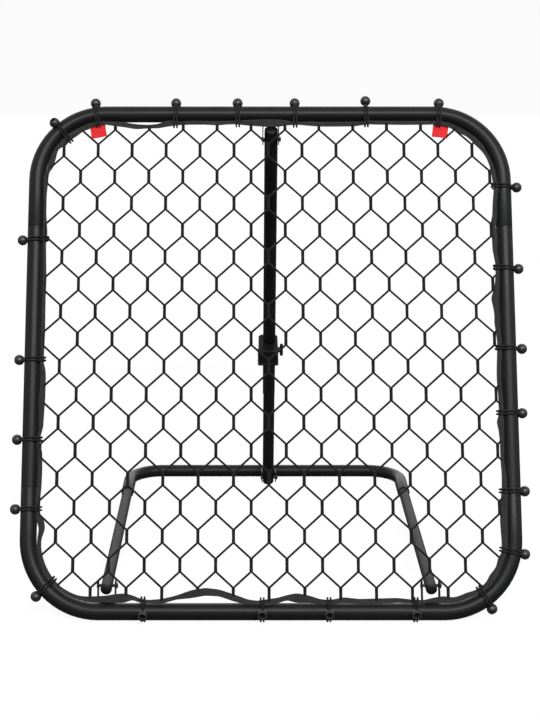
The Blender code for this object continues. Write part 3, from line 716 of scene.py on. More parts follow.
@dataclass(frozen=True)
class Finish:
    """What every finish shares: its name, two close colours and how smooth it is."""

    name: str
    colour: tuple
    second: tuple
    roughness: float
    gloss: float = 0.5

    def start(self) -> tuple:
        """Make the material.

        Returns:
            The material, its graph, its shader's inputs and the texture coordinates.
        """
        material = bpy.data.materials.new(self.name)
        material.use_nodes = True
        graph = Graph(material.node_tree)
        surface = material.node_tree.nodes["Principled BSDF"].inputs
        graph.fill(surface, Roughness=self.roughness, Specular_IOR_Level=self.gloss)
        return material, graph, surface, graph.add("TexCoord").outputs

    def bump(self, graph: Graph, height: NodeSocket, depth: float, strength: float = 1.0) -> NodeSocket:
        """Return the normal of a surface with this height on it; depth is in metres."""
        return graph.add("Bump", Strength=strength, Distance=depth, Height=height).outputs[0]

    def varied(self, graph: Graph, mask: NodeSocket, spread: float) -> NodeSocket:
        """Return a roughness that follows a mask by a small spread to either side."""
        return graph.ramp(mask, 0.0, 1.0, self.roughness - spread, self.roughness + spread)


@dataclass(frozen=True)
class Skin:
    """A hard surface's relief of two sizes, its tone patches, and how much its roughness varies."""

    coarse: float
    fine: float
    share: float
    depth: float
    strength: float
    patches: float
    spread: float


@dataclass(frozen=True)
class HardFinish(Finish):
    """A hard surface with a relief and a slow drift between its two colours."""

    skin: Skin = Skin(1000.0, 3000.0, 0.4, 0.0001, 0.6, 20.0, 0.05)
    metallic: float = 0.0
    patchy_gloss: bool = False

    def build(self, effects: Effects) -> Material:
        """Make the material.

        Args:
            effects: the shared node groups.

        Returns:
            The material.
        """
        material, graph, surface, coords = self.start()
        at, skin = coords["Object"], self.skin
        relief = graph.group(effects.relief, Vector=at, Coarse=skin.coarse, Fine=skin.fine, Share=skin.share)
        tone = graph.group(
            effects.drift, Vector=at, Scale=skin.patches, Colour_A=self.colour, Colour_B=self.second
        )
        mask = (tone if self.patchy_gloss else relief)["Mask"]
        graph.fill(
            surface,
            Metallic=self.metallic,
            Base_Color=self.worn(graph, effects, at, tone["Colour"]),
            Roughness=self.varied(graph, mask, skin.spread),
            Normal=self.bump(graph, relief["Height"], skin.depth, skin.strength),
        )
        return material

    def worn(self, graph: Graph, effects: Effects, at: NodeSocket, colour: NodeSocket) -> NodeSocket:
        """Return the colour as use has left it, which is unchanged here."""
        return colour


@dataclass(frozen=True)
class PowderCoat(HardFinish):
    """Black powder coat with orange peel, faint tone changes, a little dust and scuffs where it slides."""

    skin: Skin = Skin(420.0, 2300.0, 0.3, 0.00006, 0.7, 7.0, 0.035)
    patchy_gloss: bool = True
    dusty: float = 0.05
    dust: tuple = rgb(0.16, 0.155, 0.15)
    scuffed: float = 0.0
    scuff: tuple = rgb(0.12, 0.12, 0.12)
    lean: float = 0.0

    def worn(self, graph: Graph, effects: Effects, at: NodeSocket, colour: NodeSocket) -> NodeSocket:
        """Lay dust on the colour, and scuffs where the piece slides.

        Args:
            graph: the material's graph.
            effects: the shared node groups.
            at: the object coordinates.
            colour: the clean colour.

        Returns:
            The colour as use has left it.
        """
        normal = graph.add("NewGeometry").outputs["Normal"]
        settled = graph.group(effects.dust, Vector=at, Normal=normal, Amount=self.dusty)[0]
        colour = graph.mix(settled, colour, self.dust)
        if self.scuffed > 0:
            slid = graph.add("Mapping", Vector=at, Rotation=(self.lean, 0.0, 0.0)).outputs[0]
            marks = graph.group(effects.scuffs, Vector=slid, Amount=self.scuffed)[0]
            colour = graph.mix(marks, colour, self.scuff)
        return colour


@dataclass(frozen=True)
class Moulding(HardFinish):
    """Black moulded plastic with a spark-eroded texture."""

    skin: Skin = Skin(1500.0, 4200.0, 0.5, 0.00012, 0.8, 40.0, 0.06)


@dataclass(frozen=True)
class Plating(HardFinish):
    """Black zinc plating on steel, worn brighter in places; it also makes the brackets' pale edges, a painted
    highlight.
    """

    skin: Skin = Skin(900.0, 3800.0, 0.4, 0.00003, 0.6, 180.0, 0.08)
    metallic: float = 0.85


@dataclass(frozen=True)
class BallPlastic(HardFinish):
    """Glossy black plastic of the loops' balls, with faint mould marks."""

    skin: Skin = Skin(500.0, 2500.0, 0.25, 0.00005, 0.5, 30.0, 0.05)


@dataclass(frozen=True)
class LaidCord(Finish):
    """Cord whose strands show, on a metric UV map."""

    girth: float = 0.0075
    pitch: float = 0.005
    strands: float = 3.0
    depth: float = 0.0003
    spread: float = 0.05
    sheen: float = 0.08
    sheen_roughness: float = 0.5

    def build(self, effects: Effects) -> Material:
        """Make the material.

        Args:
            effects: the shared node groups.

        Returns:
            The material.
        """
        material, graph, surface, coords = self.start()
        laid = graph.group(
            effects.twist, Vector=coords["UV"], Girth=self.girth, Pitch=self.pitch, Strands=self.strands
        )
        graph.fill(
            surface,
            Base_Color=graph.mix(laid["Fibre"], self.colour, self.second),
            Roughness=self.varied(graph, laid["Fibre"], self.spread),
            Normal=self.bump(graph, laid["Height"], self.depth),
            Sheen_Weight=self.sheen,
            Sheen_Roughness=self.sheen_roughness,
        )
        return material


@dataclass(frozen=True)
class WovenBand(Finish):
    """Woven cloth or webbing on a metric UV map."""

    thread: float = 0.0009
    depth: float = 0.00025
    sheen: float = 0.15
    sheen_roughness: float = 0.6
    spread: float = 0.05
    patches: float = 45.0
    gap_shade_tone: float = 0.45
    thread_tone: float = 0.35

    def build(self, effects: Effects) -> Material:
        """Make the material.

        Args:
            effects: the shared node groups.

        Returns:
            The material.
        """
        material, graph, surface, coords = self.start()
        cloth = graph.group(effects.weave, Vector=coords["UV"], Thread=self.thread)
        at = coords["Object"]
        worn = graph.group(
            effects.drift, Vector=at, Scale=self.patches, Colour_A=self.colour, Colour_B=self.second
        )
        # Painted shade: the colour darkens between the threads, where the weave lies low.
        gap = rgb(*(channel * self.gap_shade_tone for channel in self.colour[:3]))
        shaded = graph.mix(graph.ramp(cloth["Height"], 0.1, 0.6), gap, worn["Colour"])
        threads = graph.ramp(cloth["Thread Tone"], 0.3, 0.7, 0.0, self.thread_tone)
        graph.fill(
            surface,
            Base_Color=graph.mix(threads, shaded, self.second),
            Roughness=self.varied(graph, cloth["Thread Tone"], self.spread),
            Normal=self.bump(graph, cloth["Height"], self.depth),
            Sheen_Weight=self.sheen,
            Sheen_Roughness=self.sheen_roughness,
        )
        return material


class Palette:
    """Every finish of the rebounder."""

    def __init__(self, strut_lean: float) -> None:
        """Build the shared effects and the materials.

        Args:
            strut_lean: the turn about X that lays the scuffs along the strut.
        """
        effects = Effects()
        self.coat = PowderCoat(
            "black_powder_coat", rgb(0.0075, 0.0079, 0.0086), rgb(0.0095, 0.0098, 0.0105), 0.38, 0.15
        ).build(effects)
        # The brackets' cut edges are given a pale metallic finish: a painted highlight.
        painted_highlight_edge = Plating("sheet_edge_painted_highlight", rgb(0.13, 0.13, 0.135), rgb(0.20, 0.20, 0.205), 0.45)
        self.sheet = (self.coat, painted_highlight_edge.build(effects))
        # A lighter, duller copy of the coat for the legs: painted light on tubes that face up to the lamps.
        self.leg_coat_painted_light = PowderCoat(
            "black_powder_coat_legs_painted_light", rgb(0.017, 0.0176, 0.018), rgb(0.022, 0.0226, 0.023), 0.54, 0.11
        ).build(effects)
        self.slid_coat = PowderCoat(
            "black_powder_coat_slid", rgb(0.0046, 0.0048, 0.0052), rgb(0.0060, 0.0062, 0.0066), 0.36, 0.15,
            scuffed=0.30, lean=strut_lean,
        ).build(effects)
        self.moulding = Moulding(
            "black_moulding", rgb(0.0042, 0.0042, 0.0045), rgb(0.0062, 0.0062, 0.0065), 0.44, 0.2
        ).build(effects)
        # The clamp's rim and ledge get a paler moulding: a painted highlight along those edges.
        painted_highlight_rim = Moulding(
            "moulding_edge_painted_highlight", rgb(0.040, 0.040, 0.041), rgb(0.055, 0.055, 0.056), 0.46, 0.1
        )
        self.clamp = (self.moulding, painted_highlight_rim.build(effects))
        self.plating = Plating(
            "black_plating", rgb(0.020, 0.020, 0.022), rgb(0.045, 0.045, 0.048), 0.36
        ).build(effects)
        self.net = LaidCord(
            "net_cord", rgb(0.0045, 0.0045, 0.0047), rgb(0.0095, 0.0095, 0.0098), 0.72, 0.12,
            girth=0.0075, pitch=0.0036, strands=3.0, depth=0.0003,
        ).build(effects)
        self.elastic = LaidCord(
            "elastic_braid", rgb(0.0045, 0.0045, 0.0048), rgb(0.0090, 0.0090, 0.0095), 0.6, 0.15,
            girth=0.0085, pitch=0.0021, strands=8.0, depth=0.00018,
        ).build(effects)
        self.webbing = WovenBand(
            "hem_webbing", rgb(0.021, 0.021, 0.0205), rgb(0.031, 0.031, 0.030), 0.85, 0.12,
            thread=0.0011, depth=0.0003,
        ).build(effects)
        self.red = WovenBand(
            "red_tab_fabric", rgb(0.70, 0.010, 0.014), rgb(0.80, 0.018, 0.022), 0.72, 0.12,
            thread=0.0007, depth=0.00012, sheen=0.25,
        ).build(effects)
        self.ball = BallPlastic(
            "ball_plastic", rgb(0.012, 0.012, 0.0125), rgb(0.018, 0.018, 0.0185), 0.30, 0.45
        ).build(effects)


# ---- Axes and the frame's outline ----


@dataclass
class Axes:
    """The three sets of axes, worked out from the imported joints."""

    hinge: Vector
    pivot: Vector
    slide: Vector
    reach: float = PIVOT_REACH
    back: float = PIVOT_BACK

    @classmethod
    def from_joints(cls, joints: list) -> "Axes":
        """Read the hinge line, the top pivot and the strut's direction.

        Args:
            joints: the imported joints.

        Returns:
            The axes.
        """
        found = {joint["name"]: joint for joint in joints}
        return cls(
            Vector(found["base_hinge"]["pos_m"]),
            Vector(found["strut_hinge"]["pos_m"]),
            Vector(found["strut_slide"]["axis"]).normalized(),
        )

    def frame(self) -> Matrix:
        """Return the place of the frame's axes.

        Returns:
            Its matrix.
        """
        across = Vector((1.0, 0.0, 0.0))
        up = (self.pivot - self.hinge).normalized()
        out = across.cross(up)
        origin = self.hinge - up * self.reach + out * self.back
        return self._matrix(across, up, out, origin)

    def base(self, crossbar: Vector) -> Matrix:
        """Return the place of the base's axes, given the crossbar's middle.

        Args:
            crossbar: the middle of the crossbar.

        Returns:
            Its matrix.
        """
        across = Vector((1.0, 0.0, 0.0))
        along = (crossbar - self.hinge).normalized()
        return self._matrix(across, along, across.cross(along), self.hinge)

    def strut(self) -> Matrix:
        """Return the place of the strut's axes."""
        across = Vector((1.0, 0.0, 0.0))
        return self._matrix(across, self.slide.cross(across), self.slide, self.pivot)

    @staticmethod
    def _matrix(x: Vector, y: Vector, z: Vector, origin: Vector) -> Matrix:
        """Return the matrix with these axes and origin.

        Args:
            x: the first axis.
            y: the second.
            z: the third.
            origin: where they meet.

        Returns:
            The matrix.
        """
        matrix = Matrix((x, y, z)).transposed().to_4x4()
        matrix.translation = origin
        return matrix


@dataclass(frozen=True)
class Outline:
    """The frame's centreline as a rounded rectangle, measured clockwise from the top left corner's bend."""

    half: float = 0.464
    rise: float = 0.980
    bend: float = 0.136

    def runs(self) -> list:
        """Go round the centreline.

        Returns:
            (start point, direction, outward, length, is a bend) of each stretch.
        """
        half, rise, bend = self.half, self.rise, self.bend
        arc = bend * math.pi / 2
        wide = 2 * (half - bend)
        tall = rise - 2 * bend
        return [
            ((bend - half, rise), (1, 0), (0, 1), wide, False),
            ((half - bend, rise - bend), (1, 0), (0, 1), arc, True),
            ((half, rise - bend), (0, -1), (1, 0), tall, False),
            ((half - bend, bend), (0, -1), (1, 0), arc, True),
            ((half - bend, 0.0), (-1, 0), (0, -1), wide, False),
            ((bend - half, bend), (-1, 0), (0, -1), arc, True),
            ((-half, bend), (0, 1), (-1, 0), tall, False),
            ((bend - half, rise - bend), (0, 1), (-1, 0), arc, True),
        ]

    def length(self) -> float:
        """Return the length all round."""
        return sum(run[3] for run in self.runs())

    def at(self, s: float) -> tuple:
        """Find a place on the centreline.

        Args:
            s: the length along it.

        Returns:
            The point and the outward direction, as numpy pairs.
        """
        s = s % self.length()
        for start, along, outward, length, bent in self.runs():
            if s <= length:
                break
            s -= length
        out = np.array(outward, float)
        if not bent:
            return np.array(start) + np.array(along) * s, out
        angle = s / self.bend
        turned_out = out * math.cos(angle) + np.array(along) * math.sin(angle)
        return np.array(start) + turned_out * self.bend, turned_out

    def near(self, x: float, y: float) -> tuple:
        """Find the place on the centreline beside a point.

        Args:
            x: the point's X.
            y: its Y.

        Returns:
            How far inside the centreline the point lies, and the length along it beside the point.
        """
        best = (math.inf, 0.0)
        s = 0.0
        for start, along, outward, length, bent in self.runs():
            ahead = (x - start[0]) * along[0] + (y - start[1]) * along[1]
            out = (x - start[0]) * outward[0] + (y - start[1]) * outward[1]
            if bent and min(ahead, out) >= 0:
                best = min(best, (self.bend - math.hypot(ahead, out), s + math.atan2(ahead, out) * self.bend))
            elif not bent and 0 <= ahead <= length:
                best = min(best, (-out, s + ahead))
            s += length
        return best


# ---- Sub-assemblies ----


@dataclass
class SubAssembly:
    """What every sub-assembly shares: its axes, the finishes and how a piece is put in its place."""

    place: Matrix
    palette: Palette

    def fit(self, obj: Object, material: Material | tuple, body: Body, slot: Slot, *nodes: str) -> None:
        """Set a piece from these axes in its place, dress it and put it on its body.

        Args:
            obj: the finished piece, in this sub-assembly's own axes.
            material: its finish, or the finishes of its material slots.
            body: the body it rides on.
            slot: the record's slot of its finish; not used.
            nodes: the CAD nodes it stands for.
        """
        obj.data.transform(self.place)
        kept = [face.material_index for face in obj.data.polygons]
        obj.data.materials.clear()
        finishes = material if isinstance(material, tuple) else (material,)
        for finish in finishes:
            obj.data.materials.append(finish)
        obj.data.polygons.foreach_set("material_index", [min(i, len(finishes) - 1) for i in kept])
        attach(obj, body.value)
        if nodes:
            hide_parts(*nodes)
        LOG.info("%s: %d faces on %s", obj.name, len(obj.data.polygons), body.value)


@dataclass
class NetFrame(SubAssembly):
    """The two bends and the two side tubes that the net is laced to."""

    outline: Outline
    radius: float = TUBE_RADIUS
    wall: float = 0.0015
    upper_joint: float = 0.748
    lower_joint: float = 0.235
    spigot: float = 0.045
    spigot_radius: float = 0.0138
    neck: float = 0.0025
    chamfer: float = 0.0006
    shoulder: float = 0.0005

    def build(self) -> None:
        """Make the four tubes."""
        half, rise, bend = self.outline.half, self.outline.rise, self.outline.bend
        start = Vector((half, self.upper_joint, 0.0))
        self.bent_tube("frame_top_bend", start, 1, rise - bend - self.upper_joint)
        start = Vector((-half, self.lower_joint, 0.0))
        self.bent_tube("frame_bottom_bend", start, -1, self.lower_joint - bend)
        for side in Side:
            tube = self.side_tube("frame_side_tube_" + side.word, side.value * half)
            self.fit(tube, self.palette.coat, Body.FRAME, Slot.POWDER_COAT, "frame_side_" + side.word)

    def bent_tube(self, node: str, start: Vector, upward: int, arm: float) -> None:
        """Make one tube with two corners.

        Args:
            node: the CAD node it stands for.
            start: the middle of its first end.
            upward: 1 where it starts up the frame and -1 where it starts down.
            arm: how long its straight ends are.
        """
        end = Run(length=arm)
        corner = Run(radius=self.outline.bend, turn=math.pi / 2, steps=18)
        across = Run(length=2 * (self.outline.half - self.outline.bend))
        runs = [end, corner, across, corner, end]
        tube = run_tube(node + "_tube", start, Vector((0, upward, 0)), self.radius, self.wall, runs)
        self.fit(tube, self.palette.coat, Body.FRAME, Slot.POWDER_COAT, node)

    def side_tube(self, name: str, x: float) -> Object:
        """Make a side tube with a swaged spigot at both ends.

        Args:
            name: the object's name.
            x: where it stands.

        Returns:
            The tube.
        """
        low = self.lower_joint + FIT_GAP
        high = self.upper_joint - FIT_GAP
        profile = [
            (self.spigot_radius - self.chamfer, low - self.spigot),
            (self.spigot_radius, low - self.spigot + self.neck),
            (self.spigot_radius, low),
            (self.radius - self.shoulder, low),
            (self.radius, low + self.chamfer),
            (self.radius, high - self.chamfer),
            (self.radius - self.shoulder, high),
            (self.spigot_radius, high),
            (self.spigot_radius, high + self.spigot - self.neck),
            (self.spigot_radius - self.chamfer, high + self.spigot),
        ]
        obj = turned(name, profile, TUBE_SIDES, Matrix.Translation((x, 0.0, 0.0)) @ ALONG_Y)
        solidify(obj, self.wall)
        shade(obj)
        return obj


@dataclass
class Bracketry(SubAssembly):
    """A U bracket of sheet with its weld beads, bolt and nut, in axes whose pivot lies at -Z."""

    inside: float = 0.031
    sheet: float = 0.002
    depth: float = 0.024
    bolt_radius: float = 0.003
    head_radius: float = 0.0056
    head_height: float = 0.0016
    nut_radius: float = 0.0056
    nut_height: float = 0.0032
    bolt_end: float = 0.0005
    fold: float = 0.003

    def seat(self) -> float:
        """Return how far out along X the bolt's head and the nut lie."""
        return self.inside / 2 + self.sheet + FIT_GAP

    def drill(self, place: Matrix, radius: float = 0.0, sides: int = 24) -> Object:
        """Return a cutter along the place's X for a bolt hole, which clears the bolt without a radius."""
        return rod("hole", radius or self.bolt_radius + FIT_GAP, -0.03, 0.03, place @ ALONG_X, sides)

    def bracket(self, name: str, tube_radius: float, reach: float, hole: float, slot: float = 0.0) -> Object:
        """Make a bracket with its tube's centreline at the origin.

        Args:
            name: the object's name.
            tube_radius: radius of the tube it is welded to.
            reach: how far its pivot lies from the tube's centreline.
            hole: radius of the bolt hole.
            slot: how far the hole is drawn out towards the tube.

        Returns:
            The bracket with two weld beads.
        """
        web = -tube_radius - FIT_GAP - self.sheet / 2
        across = self.inside + self.sheet
        nose = self.depth / 2
        bench = Bench.plane(name, across, self.depth, Matrix.Translation((0.0, 0.0, web)))
        for x in (-across / 2, across / 2):
            bench.pick(Element.EDGE, lambda e, x=x: all(abs(v.co.x - x) < MERGE for v in e.verts))
            bench.extrude(Vector((0.0, 0.0, -reach - web)))
            bench.extrude(Vector((0.0, 0.0, -nose)))
        bench.pick(Element.VERT, lambda v: v.co.z < -reach - nose + MERGE)
        bench.bevel(nose * 0.999, 10, corners=True)
        bench.pick(
            Element.EDGE,
            lambda e: all(abs(v.co.z - web) < MERGE for v in e.verts)
            and abs(e.verts[0].co.x - e.verts[1].co.x) < MERGE,
        )
        bench.bevel(self.fold, 5)
        obj = bench.close()
        # The sheet's cut edge gets a material slot of its own, whose pale finish is a painted highlight.
        for _ in range(2):
            obj.data.materials.append(None)
        apply_modifier(
            obj, "SOLIDIFY", thickness=self.sheet, offset=0.0, use_even_offset=True, material_offset_rim=1
        )
        # Three holes in a row make a slot where one is wanted.
        centres = [-reach] if slot == 0 else [-reach, -reach + slot / 2, -reach + slot]
        cut(obj, *[self.drill(Matrix.Translation((0.0, 0.0, z)), hole, 32) for z in centres])
        soften(obj, 0.00035, 2, 50.0)
        beads = [self.bead(f"{name}_bead", tube_radius, side) for side in (-1, 1)]
        shade(obj)
        return fuse(name, obj, *beads)

    def bead(self, name: str, tube_radius: float, side: int) -> Object:
        """Make one rippled weld bead between the web and the tube.

        Args:
            name: the object's name.
            tube_radius: radius of the tube it lies against.
            side: -1 for the one bead and 1 for the other.

        Returns:
            The bead.
        """
        rng = random.Random(11 + side)
        half = self.inside / 2 - 0.002
        steps = 26
        profile = [(0, -half)]
        for i in range(steps + 1):
            share = i / steps
            ends = min(1.0, 0.35 + 6 * min(share, 1 - share))
            ripple = 0.0019 + 0.00022 * math.sin(i * 2.1) + rng.uniform(-0.0001, 0.0001)
            profile.append((ripple * ends, -half + 2 * half * share))
        profile.append((0, half))
        aside = 0.0062
        height = -math.sqrt(tube_radius**2 - aside**2) - 0.0009
        obj = turned(name, profile, 12, Matrix.Translation((0.0, side * aside, height)) @ ALONG_X)
        shade(obj, 60.0)
        return obj

    def bolt(self, name: str) -> Object:
        """Make a button-head bolt along X with its head on the left and a hexagon socket.

        Args:
            name: the object's name.

        Returns:
            The bolt.
        """
        seat = self.seat()
        radius, height = self.head_radius, self.head_height
        end = seat + self.nut_height + self.bolt_end
        core = self.bolt_radius
        # Shares of the head: its flat top, and the straight rim under its dome.
        flat, rim = 0.48, 0.25
        profile = [(0, -seat - height), (radius * flat, -seat - height)]
        for share in (0.30, 0.55, 0.8, 1.0):
            angle = share * math.pi / 2
            rise = height * (rim + (1 - rim) * math.cos(angle))
            profile.append((radius * (flat + (1 - flat) * math.sin(angle)), -seat - rise))
        profile += [(radius, -seat), (core, -seat), (core, end - 0.0008), (core - 0.0007, end), (0, end)]
        obj = turned(name, profile, 32, ALONG_X)
        socket = rod("socket", 0.0018, -seat - height - 0.001, -seat - height + 0.0014, ALONG_X, 6)
        cut(obj, socket)
        shade(obj)
        return obj

    def nut(self, name: str) -> Object:
        """Make a hexagon lock nut on the right-hand end of the bolt.

        Args:
            name: the object's name.

        Returns:
            The nut with its collar.
        """
        seat = self.seat()
        radius, height = self.nut_radius, self.nut_height
        body = height * 0.72
        bore = self.bolt_radius + FIT_GAP
        profile = [(bore, seat), (radius * 0.93, seat), (radius, seat + 0.0005)]
        profile += [(radius, seat + body - 0.0006), (radius * 0.9, seat + body), (bore, seat + body)]
        hexagon = turned(name, profile, 6, ALONG_X)
        profile = [(bore, seat + body), (radius * 0.8, seat + body), (radius * 0.8, seat + height - 0.0008)]
        profile += [(radius * 0.7, seat + height), (bore, seat + height)]
        collar = turned("collar", profile, 28, ALONG_X)
        shade(hexagon, 25.0)
        shade(collar)
        return fuse(name, hexagon, collar)

    def fasten(self, body: Body, pivot: Vector, bolt_node: str, nut_node: str) -> None:
        """Put a bolt and a nut through a pivot.

        Args:
            body: the body they ride on.
            pivot: where they cross.
            bolt_node: the bolt's CAD node.
            nut_node: the nut's.
        """
        for make, node in ((self.bolt, bolt_node), (self.nut, nut_node)):
            obj = make(node + "_piece")
            obj.data.transform(Matrix.Translation(pivot))
            self.fit(obj, self.palette.plating, body, Slot.FASTENERS, node)


@dataclass
class FrameBrackets(Bracketry):
    """The hinge brackets on the bottom tube."""

    tube_radius: float = TUBE_RADIUS
    reach: float = PIVOT_REACH
    back: float = PIVOT_BACK
    aside: float = LEG_ASIDE

    def build(self) -> None:
        """Make both brackets with their bolts and nuts."""
        upright = Matrix.Translation((0.0, 0.0, -self.back)) @ Matrix.Rotation(math.pi / 2, 4, "X")
        for side in Side:
            x = BASE_ASIDE + side.value * self.aside
            name = "hinge_bracket_" + side.word
            obj = self.bracket(name + "_piece", self.tube_radius, self.reach, self.bolt_radius + FIT_GAP)
            obj.data.transform(Matrix.Translation((x, 0.0, 0.0)) @ upright)
            self.fit(obj, self.palette.sheet, Body.FRAME, Slot.POWDER_COAT, name)
            pivot = Vector((x, self.reach, -self.back))
            self.fasten(Body.FRAME, pivot, "hinge_bolt_" + side.word, "hinge_nut_" + side.word)


@dataclass
class StrutBracket(Bracketry):
    """The strut's bracket under the top tube, a little to the left of the strut."""

    inside: float = 0.0295
    rise: float = 0.980
    tube_radius: float = TUBE_RADIUS
    reach: float = PIVOT_REACH
    back: float = PIVOT_BACK
    aside: float = STRUT_ASIDE - 0.00075

    def build(self) -> None:
        """Make the bracket with its bolt and nut."""
        hanging = (
            Matrix.Translation((0.0, self.rise, -self.back))
            @ Matrix.Rotation(math.pi, 4, "Z")
            @ Matrix.Rotation(math.pi / 2, 4, "X")
        )
        obj = self.bracket("strut_bracket_piece", self.tube_radius, self.reach, self.bolt_radius + FIT_GAP)
        obj.data.transform(Matrix.Translation((self.aside, 0.0, 0.0)) @ hanging)
        self.fit(obj, self.palette.sheet, Body.FRAME, Slot.POWDER_COAT, "strut_bracket")
        pivot = Vector((self.aside, self.rise - self.reach, -self.back))
        self.fasten(Body.FRAME, pivot, "strut_top_bolt", "strut_top_nut")


def domed_cap(name: str, outside: float, plug: float, place: Matrix, facing: int) -> Object:
    """Make a domed end plug for a tube that ends at the place.

    Args:
        name: the object's name.
        outside: radius of its dome.
        plug: radius of the part inside the tube.
        place: the tube's end.
        facing: 1 where its dome points along the place's Z and -1 where it points back.

    Returns:
        The plug.
    """
    dome = 0.005
    rim = 0.0012
    depth = 0.008
    profile = [(0, facing * (FIT_GAP + dome))]
    for share in (0.12, 0.3, 0.5, 0.68, 0.84, 0.95):
        angle = share * math.pi / 2
        height = FIT_GAP + rim + (dome - rim) * math.cos(angle)
        profile.append((outside * math.sin(angle), facing * height))
    profile += [(outside, facing * (FIT_GAP + 0.0009)), (outside * 0.985, facing * FIT_GAP)]
    profile += [(plug, facing * FIT_GAP), (plug, -facing * (depth - 0.001)), (plug - 0.0006, -facing * depth)]
    profile.append((0, -facing * depth))
    obj = turned(name, profile, 32, place)
    shade(obj, 50.0)
    return obj


@dataclass
class GroundBase(Bracketry):
    """The rear bend, the two legs with their plugs and the strut's foot bracket."""

    aside: float = LEG_ASIDE
    length: float = 0.721967
    arm: float = 0.162
    bend: float = 0.072
    inside: float = 0.0291
    radius: float = 0.0135
    arm_wall: float = 0.0023
    wall: float = 0.0012
    leg_radius: float = 0.0109
    leg_insertion: float = 0.040
    leg_stub: float = 0.017
    foot_reach: float = 0.048
    foot_slot: float = 0.0036
    foot_play: float = 0.0021
    cap_play: float = 0.0004

    def build(self) -> None:
        """Make the base."""
        seam = self.length - self.arm
        straight = Run(length=self.arm - self.bend)
        corner = Run(radius=self.bend, turn=math.pi / 2, steps=16)
        across = Run(length=2 * (self.aside - self.bend))
        rear = run_tube(
            "base_rear_bend_tube", Vector((self.aside, seam, 0.0)), Vector((0, 1, 0)), self.radius,
            self.arm_wall, [straight, corner, across, corner, straight],
        )
        self.fit(rear, self.palette.coat, Body.BASE, Slot.POWDER_COAT, "base_rear_bend")
        for side in Side:
            self.leg(side, seam + self.leg_insertion)
        hole = self.bolt_radius + self.foot_play
        obj = self.bracket("foot_bracket_piece", self.radius, self.foot_reach, hole, self.foot_slot)
        place = Matrix.Translation((STRUT_ASIDE + FOOT_ASIDE - BASE_ASIDE, self.length, 0.0))
        obj.data.transform(place @ Matrix.Rotation(-math.pi / 2, 4, "X"))
        self.fit(obj, self.palette.sheet, Body.BASE, Slot.POWDER_COAT, "foot_bracket")

    def leg(self, side: Side, end: float) -> None:
        """Make one leg with the plug in its front end.

        Args:
            side: which leg.
            end: how far back it reaches.
        """
        radius = self.leg_radius
        place = Matrix.Translation((side.value * self.aside, 0.0, 0.0))
        profile = [(radius, -self.leg_stub), (radius, end)]
        leg = turned("base_leg_tube_" + side.word, profile, TUBE_SIDES, place @ ALONG_Y)
        solidify(leg, self.wall)
        cut(leg, self.drill(place))
        soften(leg, 0.0003, 1, 60.0)
        shade(leg)
        self.fit(leg, self.palette.leg_coat_painted_light, Body.BASE, Slot.POWDER_COAT, "base_leg_" + side.word)
        front = Matrix.Translation((side.value * self.aside, -self.leg_stub, 0.0)) @ ALONG_Y
        cap = domed_cap("leg_cap_plug_" + side.word, radius, radius - self.wall - self.cap_play, front, -1)
        self.fit(cap, self.palette.moulding, Body.BASE, Slot.MOULDING, "leg_cap_" + side.word)


